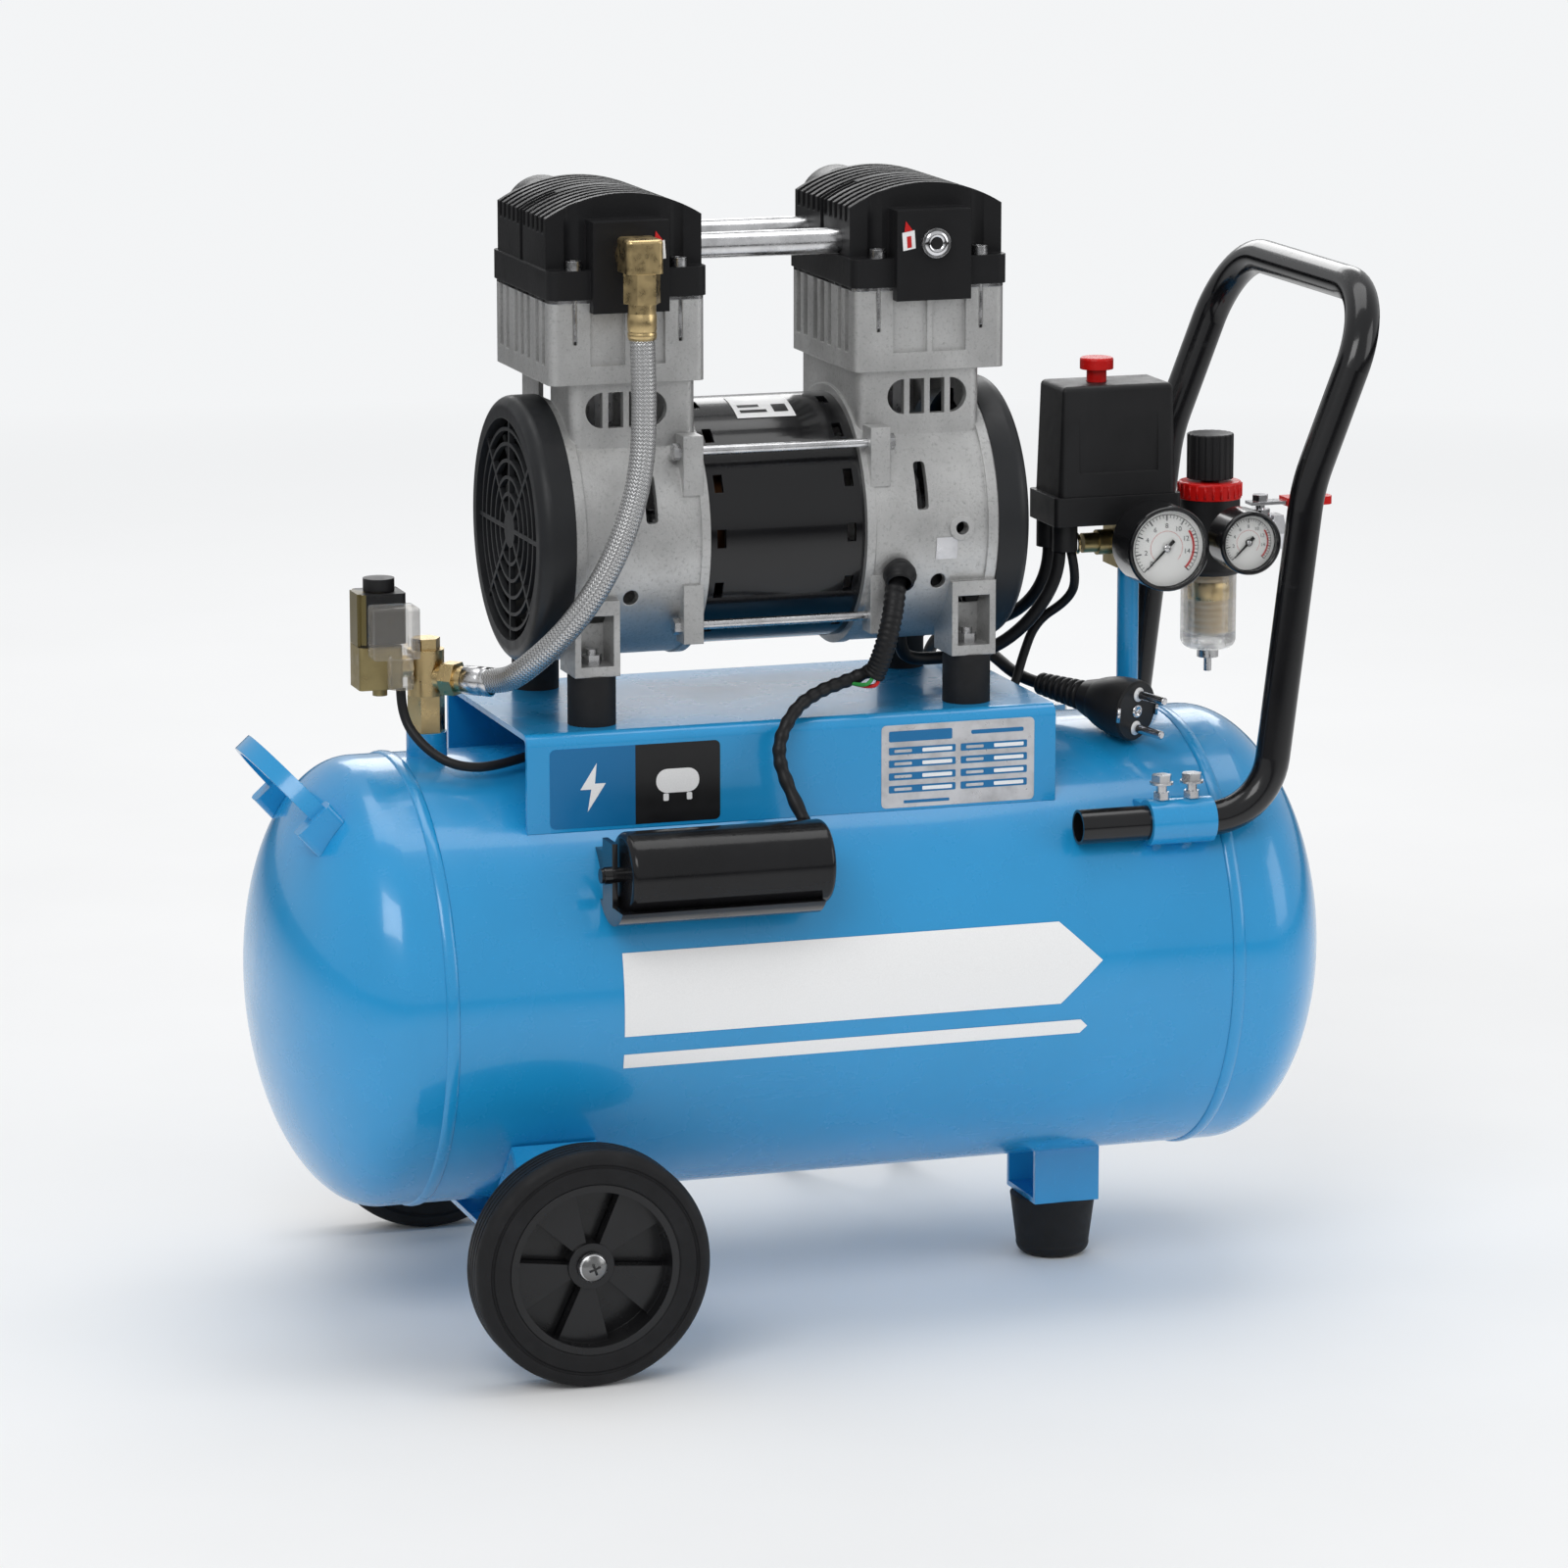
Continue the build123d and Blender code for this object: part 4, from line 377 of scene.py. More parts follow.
def dress(node, *names):
    """Give a CAD node its material, and any others that some of its faces take."""
    slots = nodes[node].data.materials
    slots.clear()
    for name in names:
        slots.append(mat[name])


def dress_where(node, test, index):
    """The faces of a node whose middle passes the test take its material number index."""
    mesh = nodes[node].data
    for face in mesh.polygons:
        if test(face.center):
            face.material_index = index


for node, name in {
    "tank_barrel": "blue", "tank_heads": "blue", "motor_saddle": "blue", "foot_bracket": "blue",
    "handle_clamps": "blue", "riser_pipe": "blue", "lift_handle": "blue", "wheel_bracket": "blue",
    "pull_handle": "black_paint", "cylinder_heads": "black_heads", "motor_shell": "black_paint",
    "crankcase_left": "cast", "crankcase_right": "cast", "cylinders": "cast",
    "crossover_tubes": "tube", "axle_bolts": "zinc", "bolts_and_nuts": "zinc", "tie_rods": "zinc",
    "rotor_core": "stack", "rotor_shaft": "steel", "shaft_bearings": "steel", "valve_plates": "steel",
    "pistons": "piston", "front_tyre": "tyre", "back_tyre": "tyre", "rubber_foot": "rubber",
    "vibration_mounts": "rubber", "front_rim": "rim", "back_rim": "rim", "cooling_fans": "fan",
    "fan_guards": "fan", "intake_filters": "switch", "drain_valve": "brass", "manifold": "dark_brass",
    "solenoid_connector": "smoked", "capacitor": "can", "capacitor_bracket": "black_paint",
    "capacitor_lead": "lead", "control_leads": "lead", "power_cord": "lead", "cord_coil": "lead",
    "switch_base": "switch", "switch_cover": "switch", "switch_knob": "red", "gauge_cases": "black_paint",
    "gauge_lenses": "lens", "needle_large": "needle", "needle_small": "needle", "regulator_knob": "switch",
    "ball_valve": "chrome", "braided_hose": "zinc",
}.items():
    dress(node, name)

dress("stator", "stack", "copper")
winding = 0.0255
dress_where("stator", lambda c: abs(c.x - pump_x) > winding, 1)
dress("hose_fittings", "brass", "zinc", "steel")
dress_where("hose_fittings", lambda c: c.x > pump_x, 2)
dress("check_valve", "brass")
dress("solenoid_valve", "dark_brass", "switch")
coil_low, coil_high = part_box("solenoid_coil")
dress_where("solenoid_valve", lambda c: c.z > coil_high.z - 0.001, 1)
dress("solenoid_coil", "switch", "yoke")
dress_where("solenoid_coil", lambda c: c.x < coil_low.x + 0.004, 1)
dress("regulator_body", "switch", "red")
ring_low = 0.4261
ring_high = 0.4354
dress_where("regulator_body", lambda c: ring_low < c.z < ring_high + 0.0003, 1)
dress("filter_bowl", "clear", "zinc")
bowl_floor = 0.341
dress_where("filter_bowl", lambda c: c.z < bowl_floor - 0.0004, 1)
dress("valve_lever", "chrome", "red")
grip_x = tank_x + 0.2931
dress_where("valve_lever", lambda c: c.x > grip_x, 1)
dress("plug", "plug", "chrome")
plug_axis = Vector((0.5, -0.86, -0.1)).normalized()
plug_back = at(152, 8, 325)
plug_length = 0.070
dress_where("plug", lambda c: (c - plug_back).dot(plug_axis) > plug_length + 0.0005, 1)


# ---- geometry kit ----------------------------------------------------------------------------
def add_mesh(name, points, faces, material, body=FRAME, smooth=True, uvs=None):
    """A mesh piece that rides on a body."""
    data = bpy.data.meshes.new(name)
    data.from_pydata([tuple(p) for p in points], [], faces)
    data.materials.append(mat[material])
    if uvs is not None:
        layer = data.uv_layers.new(name="UVMap")
        for loop in data.loops:
            layer.data[loop.index].uv = uvs[loop.index]
    for face in data.polygons:
        face.use_smooth = smooth
    data.update()
    piece = bpy.data.objects.new(name, data)
    bpy.context.scene.collection.objects.link(piece)
    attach(piece, body)
    return piece


def nurbs_points(points, per_span=10):
    """Points along the smooth NURBS line that has these control points."""
    data = bpy.data.curves.new("route", "CURVE")
    data.dimensions = "3D"
    data.resolution_u = per_span
    spline = data.splines.new("NURBS")
    spline.points.add(len(points) - 1)
    for point, place in zip(spline.points, points):
        point.co = (*place, 1.0)
    spline.order_u = 3
    spline.use_endpoint_u = True
    carrier = bpy.data.objects.new("route", data)
    bpy.context.scene.collection.objects.link(carrier)
    line = bpy.data.meshes.new_from_object(carrier)
    found = [v.co.copy() for v in line.vertices]
    bpy.data.objects.remove(carrier)
    bpy.data.curves.remove(data)
    bpy.data.meshes.remove(line)
    return found


def tube(name, line, radius, material, body=FRAME, sides=24, radii=None):
    """A round tube along points, with UVs: turn, then length in metres."""
    points, faces, uvs = [], [], []
    forward = (line[1] - line[0]).normalized()
    side = forward.orthogonal().normalized()
    lengths = [0.0]
    for a, b in zip(line, line[1:]):
        lengths.append(lengths[-1] + (b - a).length)
    for i, place in enumerate(line):
        ahead = (line[min(i + 1, len(line) - 1)] - line[max(i - 1, 0)]).normalized()
        side = (side - ahead * side.dot(ahead)).normalized()
        other = ahead.cross(side)
        r = radii[i] if radii else radius
        for k in range(sides):
            turn = 2 * pi * k / sides
            points.append(place + (side * cos(turn) + other * sin(turn)) * r)
    for i in range(len(line) - 1):
        for k in range(sides):
            n = (k + 1) % sides
            faces.append((i * sides + k, i * sides + n, (i + 1) * sides + n, (i + 1) * sides + k))
            u0, u1 = k / sides, (k + 1) / sides
            uvs += [(u0, lengths[i]), (u1, lengths[i]), (u1, lengths[i + 1]), (u0, lengths[i + 1])]
    first = len(points)
    points += [line[0], line[-1]]
    last = (len(line) - 1) * sides
    for k in range(sides):
        n = (k + 1) % sides
        faces.append((first, n, k))
        uvs += [(0, 0)] * 3
        faces.append((first + 1, last + k, last + n))
        uvs += [(0, 0)] * 3
    return add_mesh(name, points, faces, material, body, True, uvs)


def plate(name, outline, origin, across, up, thick, material, body=FRAME):
    """A thin flat piece: an outline in the plane of across and up, raised along their normal."""
    across, up = Vector(across), Vector(up)
    out = across.cross(up).normalized()
    count = len(outline)
    low = [origin + across * u + up * v for u, v in outline]
    points = low + [p + out * thick for p in low]
    faces = [tuple(range(count, 2 * count))]
    faces += [(k, (k + 1) % count, count + (k + 1) % count, count + k) for k in range(count)]
    return add_mesh(name, points, faces, material, body, False)


def rounded_rectangle(width, height, radius, u=0.0, v=0.0, steps=6):
    outline = []
    for corner, (sx, sy) in enumerate(((1, 1), (-1, 1), (-1, -1), (1, -1))):
        for step in range(steps + 1):
            turn = pi / 2 * (corner + step / steps)
            outline.append((u + sx * (width / 2 - radius) + radius * cos(turn),
                            v + sy * (height / 2 - radius) + radius * sin(turn)))
    return outline


def disc_outline(radius, steps=48, u=0.0, v=0.0):
    return [(u + radius * cos(2 * pi * k / steps), v + radius * sin(2 * pi * k / steps)) for k in range(steps)]


def lathe(name, profile, origin, axis, material, body=FRAME, steps=48):
    """A turned piece: profile is (radius, height along axis)."""
    axis = Vector(axis).normalized()
    side = axis.orthogonal().normalized()
    other = axis.cross(side)
    points, faces = [], []
    for radius, height in profile:
        for k in range(steps):
            turn = 2 * pi * k / steps
            points.append(Vector(origin) + axis * height + (side * cos(turn) + other * sin(turn)) * radius)
    for i in range(len(profile) - 1):
        for k in range(steps):
            n = (k + 1) % steps
            faces.append((i * steps + k, i * steps + n, (i + 1) * steps + n, (i + 1) * steps + k))
    return add_mesh(name, points, faces, material, body)


# ---- mains lead ------------------------------------------------------------------------------
coil_middle = at(105, 290, 3.8)
coil_radii = (0.042, 0.034)  # outer and inner turns
layer_rise = 0.0074
coil_turns = 3.5
per_turn = 14


def eased(value, low, high):
    """0 before low, 1 after high, and a smooth step between."""
    t = min(1.0, max(0.0, (value - low) / (high - low)))
    return t * t * (3 - 2 * t)


def coil_points():
    """Two turns side by side on the floor, then the rest on top of them."""
    found = []
    for step in range(int(coil_turns * per_turn) + 1):
        turn = step / per_turn
        inward = eased(turn, 0.85, 1.15) - eased(turn, 2.45, 2.75)
        radius = coil_radii[0] + (coil_radii[1] - coil_radii[0]) * inward
        rise = layer_rise * eased(turn, 1.75, 2.1)
        angle = pi - 2 * pi * turn
        found.append(coil_middle + Vector((radius * cos(angle), radius * sin(angle), rise)))
    return found


gland_exit = at(157.5, 9, 402)
down_points = [
    gland_exit, at(157.5, 9, 386), at(146, 22, 363), at(128, 49, 352), at(112.5, 84, 349), at(109, 112, 328),
    at(108.5, 124, 288), at(108, 132, 237), at(105, 137, 177), at(99, 139, 115), at(88, 150, 60),
    at(76, 194, 20), at(67, 234, 3.8), at(65, 260, 3.8),
]
up_points = [
    at(146, 267, 9.5), at(143, 234, 3.9), at(139, 194, 20), at(131, 152, 59), at(124, 141, 114),
    at(121.5, 138, 174), at(121.5, 132, 232), at(121, 122, 290), at(121.5, 110, 330), at(127, 80, 347),
    at(138.5, 46, 335), at(144.25, 21.3, 326.6), plug_back,
]
lead_points = down_points + coil_points() + up_points

lead_data = bpy.data.curves.new("mains_lead", "CURVE")
lead_data.dimensions = "3D"
lead_data.bevel_depth = cord_d / 2
lead_data.bevel_resolution = 5
lead_data.resolution_u = 8
lead_data.use_fill_caps = True
lead_spline = lead_data.splines.new("NURBS")
lead_spline.points.add(len(lead_points) - 1)
for point, place in zip(lead_spline.points, lead_points):
    point.co = (*place, 1.0)
lead_spline.order_u = 3
lead_spline.use_endpoint_u = True
lead_data.materials.append(mat["lead"])
mains_lead = bpy.data.objects.new("mains_lead", lead_data)
bpy.context.scene.collection.objects.link(mains_lead)
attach(mains_lead, FRAME)
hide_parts("power_cord", "cord_coil")

tie_out = 0.038          # from the coil's middle to the tie's
tie_half_w, tie_half_h = 0.0098, 0.00735
tie_up = 0.00475
tie_steps = 24
tie_line = []
for k in range(tie_steps + 1):
    a = 2 * pi * k / tie_steps
    tie_line.append(coil_middle + Vector((tie_out + tie_half_w * cos(a), 0.0, tie_up + tie_half_h * sin(a))))
coil_tie = tube("coil_tie", tie_line, 0.0011, "switch", sides=8)

# ---- plug: its ribbed relief and earth clips -------------------------------------------------
across_plug = Vector((0.86, 0.5, 0)).normalized()
up_plug = across_plug.cross(plug_axis)
rib_profile = [(0.0, 0.0005), (0.0048, 0.0005)]
for rib in range(7):
    start = 0.001 + rib * 0.0045
    grown = 0.0050 + 0.00034 * rib
    rib_profile += [
        (grown + 0.0009, start), (grown + 0.0013, start + 0.0008), (grown + 0.0013, start + 0.0022),
        (grown + 0.0009, start + 0.003), (grown - 0.0006, start + 0.0034), (grown - 0.0006, start + 0.0042),
    ]
rib_profile += [(0.0080, 0.0335), (0.0, 0.0335)]
plug_relief = lathe("plug_relief", rib_profile, plug_back, plug_axis, "plug", steps=32)

face_middle = plug_back + plug_axis * plug_length
for side in (-1, 1):
    clip_middle = face_middle + across_plug * side * 0.0165 + plug_axis * 0.0006
    clip_line = [clip_middle + up_plug * u for u in (-0.004, 0.0, 0.004)]
    tube(f"earth_clip_{'left' if side < 0 else 'right'}", clip_line, 0.0011, "chrome", sides=8)
    ring_place = face_middle + up_plug * side * 0.0095
    lathe(f"pin_collar_{'low' if side < 0 else 'high'}",
          [(0.0024, 0.0001), (0.0040, 0.0001), (0.0040, 0.0007), (0.0024, 0.0009)],
          ring_place, plug_axis, "white", steps=24)
lathe("earth_socket", [(0.0, 0.0004), (0.0021, 0.0004), (0.0026, 0.0010), (0.0034, 0.0010), (0.0036, 0.0001)],
      face_middle, plug_axis, "chrome", steps=24)

# ---- braided hose ----------------------------------------------------------------------------
side_port = Vector((sqrt(0.5), -sqrt(0.5), 0))
valve_x = middle("riser_pipe").x - 0.4034
hose_foot = Vector((valve_x, 0, 0.351)) + side_port * 0.024
hose_line = nurbs_points([
    at(-104, -80, 539.5), at(-103, -82, 500), at(-107.5, -86, 462), at(-121.5, -87, 424), at(-142, -80, 389),
    at(-163.5, -59, 362), hose_foot + side_port * 0.022, hose_foot,
], 24)
hose_r = 0.0067
hose = tube("braided_line", hose_line, hose_r, "braid", sides=40)
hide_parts("braided_hose")
lathe("hose_crimp_top", [(0.0069, 0), (0.0077, 0.0004), (0.0078, 0.003), (0.0074, 0.0036), (0.0078, 0.0044),
                         (0.0078, 0.0125), (0.0072, 0.014), (0.0072, 0.0185)],
      at(-104, -80, 539.8), (0, 0, 1), "brass")
lathe("hose_crimp_low", [(0.0066, -0.0005), (0.0078, 0.0), (0.0079, 0.010), (0.0074, 0.011), (0.0079, 0.012),
                         (0.0079, 0.016), (0.0069, 0.0165)],
      hose_foot + side_port * 0.0005, side_port, "zinc")

# ---- leads held at both ends -----------------------------------------------------------------
grommet = at(43, -67, 404.5)
sleeve_line = nurbs_points([
    at(43, -64, 404.5), at(38.5, -76, 393), at(33, -81, 374), at(29, -76, 356), at(27, -74, 352),
], 16)
sleeve_r = 0.0056
sleeve_last = len(sleeve_line) - 4
sleeve_radii = [sleeve_r + 0.0004 * sin(i * 1.9) + 0.0006 * (i > sleeve_last) for i in range(len(sleeve_line))]
tube("grommet_sleeve", sleeve_line, sleeve_r, "lead", radii=sleeve_radii)
lathe("grommet_ball", [(0.0, -0.008), (0.0066, -0.006), (0.0088, -0.002), (0.0092, 0.001), (0.0080, 0.004),
                       (0.0076, 0.0046), (0.0078, 0.0056), (0.0062, 0.0066)],
      grommet + Vector((0, -0.003, 0)), (-0.25, -0.75, -0.6), "lead")
lead_line = nurbs_points([
    at(33, -80, 366), at(29, -76, 356), at(16, -66, 348), at(-4, -74, 344.5), at(-22, -86, 338),
    at(-34, -92.5, 320), at(-31, -98, 301), at(-24, -111, 281.5),
], 16)
thick_lead_r, thin_lead_r = 0.0036, 0.0026
lead_radii = [thick_lead_r + 0.0003 * sin(i * 0.9) for i in range(len(lead_line))]
capacitor_wire = tube("capacitor_wire", lead_line, thick_lead_r, "lead", radii=lead_radii)
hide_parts("capacitor_lead")
inner_wires = (("wire_red", "red_wire", 0.0026, -0.003), ("wire_green", "green_wire", -0.0016, -0.0016))
for name, material, spread, drop in inner_wires:
    wire_line = nurbs_points([at(28.5, -76, 357), at(27, -75, 351) + Vector((spread, -0.003, drop / 2)),
                              at(22, -74, 347.5) + Vector((spread, -0.004, drop)), at(15, -68, 347)], 10)
    tube(name, wire_line, 0.0011, material, sides=10)

solenoid_line = nurbs_points([
    at(-221.5, -20.5, 349), at(-221.5, -20.5, 334), at(-213, -33, 319), at(-199, -45, 309.5),
    at(-176, -46, 308), at(-130, -30, 317), at(-60, -22, 319), at(30, -22, 319), at(105, -20, 319), at(132, -4, 322),
    at(141, 6, 340), at(150, 9, 360), at(166, 1, 372), at(168.5, -7, 385), at(163.5, -9.5, 402),
], 10)
motor_line = nurbs_points([
    at(156.8, -9.5, 402), at(156.8, -9.5, 388), at(142, -4, 362), at(121, 4, 345), at(94, 10, 342),
    at(74, 6, 343.5), at(68, 2, 351.5), at(68, 2, 358.4),
], 12)
solenoid_wire = tube("solenoid_wire", solenoid_line, thin_lead_r, "lead")
tube("motor_wire", motor_line, thick_lead_r, "lead")
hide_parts("control_leads")


# ---- labels ----------------------------------------------------------------------------------
RIGHT = (1, 0, 0)
UP = (0, 0, 1)
film = 0.00025               # thickness of a label
thin_film = 0.00012          # and of the print on the rating plate
ink_depth = 0.00005          # and of a line on a dial


def front(name, outline, place, material, raise_by=0.0, thick=film):
    """A printed shape facing -Y."""
    return plate(name, outline, place + Vector((0, -raise_by, 0)), RIGHT, UP, thick, material)


saddle_face = saddle_low.y
label_middle = Vector((tank_x - 0.1092, saddle_face, 0.3012))
label_w, label_h = 0.0945, 0.043
right_half = [p for p in rounded_rectangle(label_w, label_h, 0.003) if p[0] > 0]
right_half = [(0, -label_h / 2)] + right_half[7:] + right_half[:7] + [(0, label_h / 2)]
left_half = [(-u, v) for u, v in reversed(right_half)]
front("label_left", left_half, label_middle, "print_blue")
front("label_right", right_half, label_middle, "ink_and_shade_black")

bolt = [(0.002, 0.013), (-0.007, -0.001), (-0.001, -0.001), (-0.003, -0.013), (0.007, 0.002), (0.001, 0.002)]
front("label_bolt", [(u - 0.0235, v) for u, v in bolt], label_middle, "white", film)
drum = rounded_rectangle(0.024, 0.013, 0.0062, 0.0235, 0.001)
front("label_drum", drum, label_middle, "white", film)
for number, u in enumerate((0.017, 0.030)):
    drum_foot = rounded_rectangle(0.003, 0.004, 0.0008, u, -0.0078)
    front(f"label_drum_foot_{number}", drum_foot, label_middle, "white", film)

rating_middle = Vector((tank_x + 0.0728, saddle_face, 0.3018))
front("rating_foil", rounded_rectangle(0.0875, 0.0455, 0.0028), rating_middle, "silver_foil")
front("rating_head_bar", rounded_rectangle(0.036, 0.0058, 0.0008, -0.0215, 0.0165), rating_middle,
      "print_blue", film)
front("rating_head_line", rounded_rectangle(0.030, 0.0022, 0.0008, 0.0225, 0.0165), rating_middle,
      "print_blue", film)
for row in range(4):
    v = 0.0085 - row * 0.0070
    for column, u in enumerate((-0.0205, 0.0205)):
        bar = rounded_rectangle(0.038, 0.0040, 0.0006, u, v)
        value = rounded_rectangle(0.017, 0.0020, 0.0005, u + 0.0085, v)
        key = rounded_rectangle(0.010, 0.0016, 0.0005, u - 0.011, v)
        front(f"rating_bar_{row}_{column}", bar, rating_middle, "print_blue", film)
        front(f"rating_value_{row}_{column}", value, rating_middle, "white", 2 * film, thin_film)
        front(f"rating_key_{row}_{column}", key, rating_middle, "silver_foil", 2 * film, thin_film)
front("rating_foot_line", rounded_rectangle(0.026, 0.0016, 0.0005, -0.018, -0.0196), rating_middle,
      "print_blue", film)


def wrapped(name, outline_rows, material, lift=0.00028):
    """Print on the tank's barrel: rows of left edge and right edge, from the tank's middle, and arc height."""
    points, faces = [], []
    columns = 8
    width = columns + 1
    across = tank_r + lift
    for left, right, v in outline_rows:
        angle = (v - tank_z) / tank_r
        for k in range(width):
            u = left + (right - left) * k / columns
            points.append(Vector((tank_x + u, -across * cos(angle), tank_z + across * sin(angle))))
    for row in range(len(outline_rows) - 1):
        for k in range(width - 1):
            a = row * width + k
            faces.append((a, a + width, a + width + 1, a + 1))
    return add_mesh(name, points, faces, material, FRAME)


def band(name, low, high, x_low, x_high, nose=0.0):
    """A white band along the barrel, with a pointed end if it has a nose."""
    rows = []
    steps = 12
    for k in range(steps + 1):
        t = k / steps
        rows.append((x_low, x_high + nose * (1 - abs(2 * t - 1)), low + (high - low) * t))
    wrapped(name, rows, "white")


band("tank_band", 0.174, 0.219, -0.128, 0.118, 0.024)
band("tank_band_low", 0.156, 0.164, -0.128, 0.130, 0.004)

# head decals, motor label and round sticker
head_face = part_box("cylinder_heads")[0].y
paper = [(-0.0035, -0.0075), (0.0035, -0.0062), (0.0028, 0.0035), (-0.0042, 0.0022)]
arrow = [(-0.0030, 0.0026), (0.0018, 0.0034), (-0.0022, 0.0085)]
arrow_foot = [(-0.0012, -0.0060), (0.0012, -0.0056), (0.0008, 0.0005), (-0.0016, 0.0001)]
for number, x in enumerate((-88.5, 50.9)):
    place = Vector((tank_x + x * MM, head_face, 0.5855))
    front(f"head_decal_{number}", paper, place, "white")
    front(f"head_arrow_{number}", arrow, place, "print_red", film)
    front(f"head_arrow_foot_{number}", arrow_foot, place, "print_red", film)


def on_shell(name, x0, x1, a0, a1, radius, material):
    """Print wrapped on the motor shell between two angles, in degrees back from the front."""
    points, faces = [], []
    rows = 10
    for k in range(rows + 1):
        angle = radians(a0 + (a1 - a0) * k / rows)
        for x in (x0, x1):
            points.append(Vector((x, -radius * cos(angle), motor_z + radius * sin(angle))))
    for k in range(rows):
        faces.append((2 * k, 2 * k + 2, 2 * k + 3, 2 * k + 1))
    return add_mesh(name, points, faces, material, FRAME)


label_r = shell_r + 0.0003
print_r = shell_r + 0.0005
case_print_r = 0.0703        # just outside the right-hand crankcase
on_shell("motor_label", tank_x - 0.036, tank_x - 0.003, 62, 86, label_r, "white")
on_shell("motor_label_line_a", tank_x - 0.033, tank_x - 0.018, 66, 68.4, print_r, "ink_and_shade_black")
on_shell("motor_label_line_b", tank_x - 0.033, tank_x - 0.021, 71, 73.4, print_r, "ink_and_shade_black")
on_shell("motor_label_box", tank_x - 0.014, tank_x - 0.006, 66, 73, print_r, "ink_and_shade_black")
on_shell("case_sticker", tank_x + 0.064, tank_x + 0.076, -14, -4, case_print_r, "silver_foil")

# ---- gauges ----------------------------------------------------------------------------------
dial_y = -0.0578
bezel_y = -0.062
zero_angle = 225             # of a needle at zero, in degrees, and how far it swings
swing = 270
dial_ticks = 40
# name, distance from the tank's middle, height, radius of the window, radius of the card
gauges = (("large", 0.2012, 0.409, 0.0213, 0.0212), ("small", 0.2492, 0.4096, 0.0154, 0.0153))


def dial_text(name, words, size, place, material="ink_and_shade_black"):
    """Small raised figures facing -Y, centred on a point."""
    data = bpy.data.curves.new(name, "FONT")
    data.body = words
    data.size = size
    data.align_x = "CENTER"
    data.align_y = "CENTER"
    data.extrude = 0.00003
    carrier = bpy.data.objects.new(name + "_carrier", data)
    bpy.context.scene.collection.objects.link(carrier)
    mesh = bpy.data.meshes.new_from_object(carrier)
    mesh.transform(Matrix.Translation(place) @ Matrix.Rotation(pi / 2, 4, "X"))
    bpy.data.objects.remove(carrier)
    mesh.materials.clear()
    mesh.materials.append(mat[material])
    piece = bpy.data.objects.new(name, mesh)
    bpy.context.scene.collection.objects.link(piece)
    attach(piece, FRAME)
    return piece


def arc_band(name, middle_point, r0, r1, a0, a1, material, lift):
    """A printed arc on a dial, angles in degrees clockwise from the zero at the lower left."""
    steps = max(6, int(abs(a1 - a0) / 5))
    outline = []
    for radius, order in ((r0, range(steps + 1)), (r1, range(steps, -1, -1))):
        for k in order:
            turn = radians(zero_angle - (a0 + (a1 - a0) * k / steps))
            outline.append((radius * cos(turn), radius * sin(turn)))
    return plate(name, outline[::-1], middle_point + Vector((0, -lift, 0)), RIGHT, UP, ink_depth, material)


for name, dial_x, dial_z, face_r, card_r in gauges:
    centre = Vector((tank_x + dial_x, dial_y, dial_z))
    front(f"dial_{name}", disc_outline(card_r), centre, "dial")
    s = card_r / 0.0212
    for tick in range(dial_ticks + 1):
        turn = radians(zero_angle - swing * tick / dial_ticks)
        long = tick % 5 == 0
        reach = (0.0150 if long else 0.0165) * s
        half = (0.00032 if long else 0.00016) * s
        tip = 0.0182 * s
        ux, uz = cos(turn), sin(turn)
        outline = [
            (ux * reach - uz * half, uz * reach + ux * half), (ux * reach + uz * half, uz * reach - ux * half),
            (ux * tip + uz * half, uz * tip - ux * half), (ux * tip - uz * half, uz * tip + ux * half),
        ]
        plate(f"tick_{name}_{tick}", outline, centre + Vector((0, -film, 0)), RIGHT, UP, ink_depth,
              "ink_and_shade_black")
        if long and tick < dial_ticks:
            place = centre + Vector((ux * 0.0122 * s, -film - 0.00002, uz * 0.0122 * s))
            dial_text(f"figure_{name}_{tick}", str(2 * tick // 5), 0.0038 * s, place)
    arc_band(f"dial_red_{name}", centre, 0.0152 * s, 0.0164 * s, 190, swing, "print_red", film + 0.00006)
    arc_band(f"dial_ring_{name}", centre, 0.0183 * s, 0.0186 * s, 0, swing, "ink_and_shade_black", film)
    arc_band(f"dial_inner_{name}", centre, 0.0092 * s, 0.0094 * s, 0, swing, "print_red", film)
    body = "pointer_" + name
    lathe(f"needle_cap_{name}",
          [(0.0, 0.0013), (0.0012 * s, 0.0012), (0.0021 * s, 0.0008), (0.0023 * s, 0.0001)],
          centre + Vector((0, -0.0012, 0)), (0, -1, 0), "steel", body=body, steps=24)
    rim_r = face_r + 0.0022
    lathe(f"bezel_{name}",
          [(face_r - 0.0002, 0.0004), (face_r + 0.0002, 0.0012), (rim_r - 0.0010, 0.0014),
           (rim_r - 0.0002, 0.0006), (rim_r + 0.0001, -0.0012)],
          Vector((centre.x, bezel_y, centre.z)), (0, -1, 0), "black_paint")

# ---- filter element, ribs of the regulator's ring and safety valve's ring --------------------
regulator = Vector((tank_x + 0.2492, 0, 0))
element = [(0.0045, 0.3485)]
for fold in range(9):
    z = 0.3505 + fold * 0.0036
    element += [(0.0112, z), (0.0112, z + 0.0022), (0.0104, z + 0.0025), (0.0104, z + 0.0033)]
element += [(0.0112, 0.3835), (0.0045, 0.3850)]
lathe("filter_element", element, regulator, (0, 0, 1), "cream")
lathe("element_band", [(0.0114, 0.3690), (0.0117, 0.3694), (0.0117, 0.3786), (0.0114, 0.3790)],
      regulator, (0, 0, 1), "brass")
lathe("bowl_collar", [(0.0158, 0.3835), (0.0172, 0.3840), (0.0172, 0.3872), (0.0168, 0.3880)],
      regulator, (0, 0, 1), "switch")
ring_ribs = 24
rib_reach = 0.01762
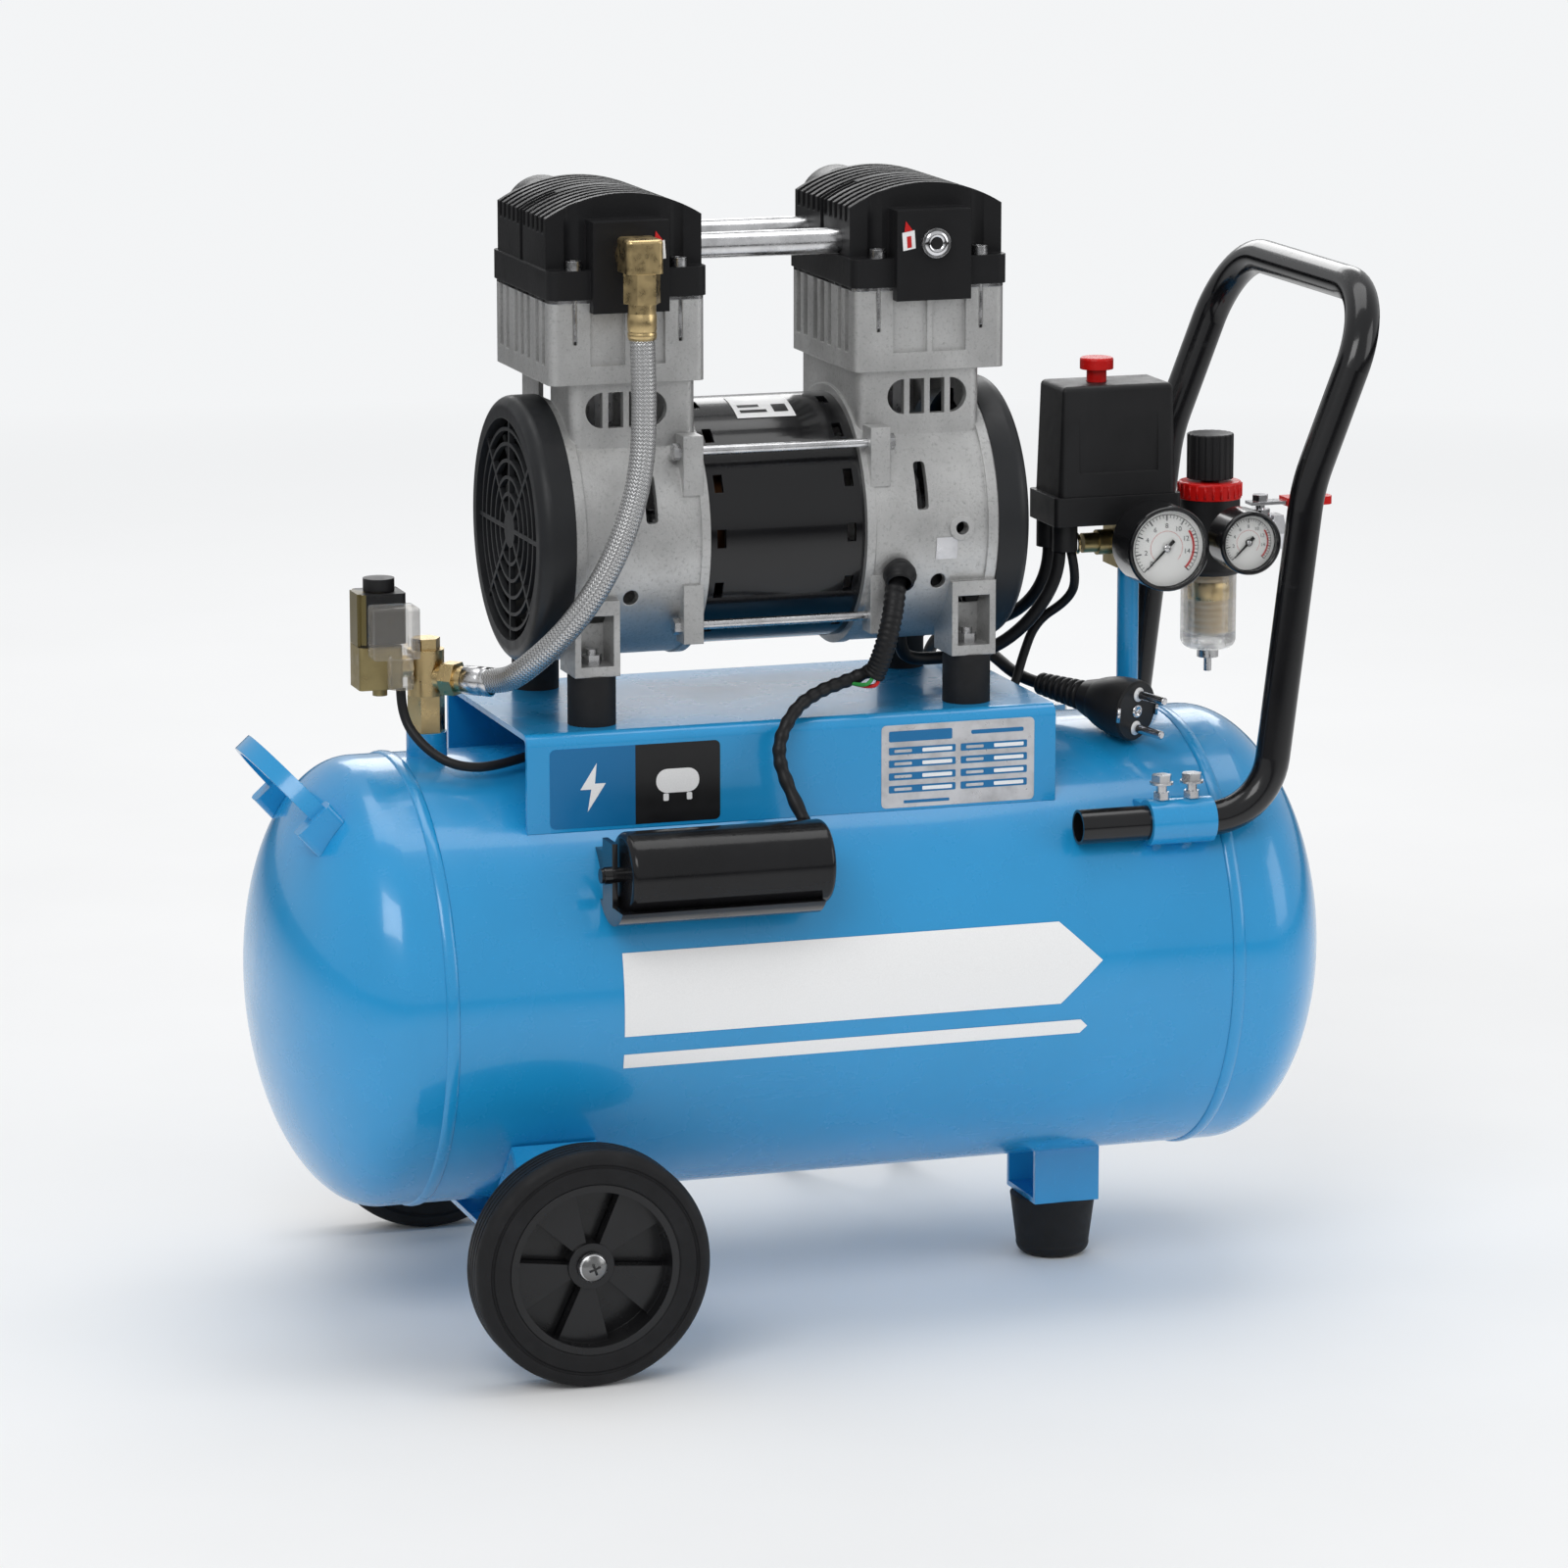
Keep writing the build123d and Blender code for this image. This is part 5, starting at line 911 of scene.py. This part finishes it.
for k in range(ring_ribs):
    a = 2 * pi * k / ring_ribs
    out = Vector((cos(a), sin(a), 0))
    rib_line = [regulator + out * rib_reach + Vector((0, 0, z)) for z in (0.4272, 0.4308, 0.4342)]
    tube(f"ring_rib_{k}", rib_line, 0.0007, "red", sides=8)
lathe("safety_ring", [(0.0052, 0.0), (0.0060, 0.0006), (0.0060, 0.0014), (0.0052, 0.002)],
      at(171.5, 0, 404), (-1, 0, 0), "brass")

# ---- axle screws and the plug of the free port -----------------------------------------------
axle_low, axle_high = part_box("axle_bolts")
recess_lean = 0.35           # of the cross in the screw's head, in radians
recess_reach = 0.0032
for side, y, out in (("front", axle_low.y, -1), ("back", axle_high.y, 1)):
    head = Vector((wheel_x, y, wheel_z))
    lathe(f"axle_screw_{side}", [(0.0, 0.0022), (0.0030, 0.0019), (0.0055, 0.0010), (0.0068, 0.0001)],
          head, (0, out, 0), "dark_screw", steps=32)
    # the cross in each screw's head is drawn as two thin black tubes: painted shade in the recess
    for number, lean in enumerate((recess_lean, recess_lean + pi / 2)):
        reach = Vector((cos(lean), 0, sin(lean))) * recess_reach
        middle_point = head + Vector((0, out * 0.0019, 0))
        recess_line = [middle_point - reach, middle_point, middle_point + reach]
        tube(f"axle_recess_shade_{side}_{number}", recess_line, 0.0007, "ink_and_shade_black", sides=8)

plug_points = [v.co for v in nodes["hose_fittings"].data.vertices if v.co.x > pump_x]
plug_xs = [c.x for c in plug_points]
plug_zs = [c.z for c in plug_points]
free_port = Vector(((min(plug_xs) + max(plug_xs)) / 2, min(c.y for c in plug_points),
                    (min(plug_zs) + max(plug_zs)) / 2))
lathe("port_plug_ring", [(0.0034, 0.0002), (0.0040, 0.0008), (0.0056, 0.0008), (0.0066, 0.0001)],
      free_port, (0, -1, 0), "chrome", steps=32)
# the plug's hex socket drawn as a flat black disc: painted shade in the recess
lathe("port_plug_socket_shade", [(0.0, 0.0002), (0.0034, 0.0002)], free_port, (0, -1, 0), "ink_and_shade_black",
      steps=6)

# ---- finishing -------------------------------------------------------------------------------
floor_data = bpy.data.meshes.new("floor")
half = 30.0
floor_z = -0.0004
floor_corners = [(-half, -half, floor_z), (half, -half, floor_z), (half, half, floor_z), (-half, half, floor_z)]
floor_data.from_pydata(floor_corners, [], [(0, 1, 2, 3)])
BACKDROP = (0.90, 0.91, 0.92, 1)
floor_shade = Shade("studio_floor")
cloud = floor_shade.span(floor_shade.noise(2.0, 4.0), 0.3, 0.7)
floor_tone = floor_shade.mix(cloud, (0.86, 0.86, 0.86, 1), (0.90, 0.90, 0.90, 1))
away = floor_shade.tree.nodes.new("ShaderNodeVectorMath")
away.operation = "LENGTH"
floor_shade.tree.links.new(floor_shade.place, away.inputs[0])
far = floor_shade.span(away.outputs["Value"], 1.0, 3.4)
seen = floor_shade.tree.nodes.new("ShaderNodeLightPath").outputs["Is Camera Ray"]
floor_shade.set(Base_Color=floor_shade.mix(far, floor_tone, (0.0, 0.0, 0.0, 1)), Roughness=0.85)
floor_shade.set(Specular_IOR_Level=0.0, Emission_Color=BACKDROP)
floor_shade.set(Emission_Strength=floor_shade.maths("MULTIPLY", far, seen))
floor_data.materials.append(floor_shade.material)
floor = bpy.data.objects.new("floor", floor_data)
bpy.context.scene.collection.objects.link(floor)


def softbox(name, place, size_x, size_y, watts, warmth=(1, 1, 1)):
    """A large area light aimed at the object's middle."""
    data = bpy.data.lights.new(name, "AREA")
    data.shape = "RECTANGLE"
    data.size = size_x
    data.size_y = size_y
    data.energy = watts
    data.color = warmth
    light = bpy.data.objects.new(name, data)
    bpy.context.scene.collection.objects.link(light)
    light.location = place
    light.rotation_euler = (Vector((0, 0, 0.3)) - Vector(place)).to_track_quat("-Z", "Y").to_euler()


softbox("key", (-1.6, -2.2, 2.4), 1.8, 1.2, 30)
softbox("fill", (2.4, -1.6, 1.2), 1.4, 1.6, 12)
softbox("top", (0.1, 0.3, 2.6), 2.2, 1.4, 20)
softbox("rim", (0.8, 2.6, 1.6), 2.0, 1.0, 18)

world = bpy.data.worlds.new("studio")
world.use_nodes = True
backdrop = world.node_tree.nodes["Background"]
backdrop.inputs["Color"].default_value = BACKDROP
camera_rays = world.node_tree.nodes.new("ShaderNodeLightPath").outputs["Is Camera Ray"]
strength = world.node_tree.nodes.new("ShaderNodeMapRange")
strength.inputs["To Min"].default_value = 0.62
strength.inputs["To Max"].default_value = 1.0
world.node_tree.links.new(camera_rays, strength.inputs["Value"])
world.node_tree.links.new(strength.outputs["Result"], backdrop.inputs["Strength"])
bpy.context.scene.world = world
bpy.context.scene.view_settings.view_transform = "Standard"
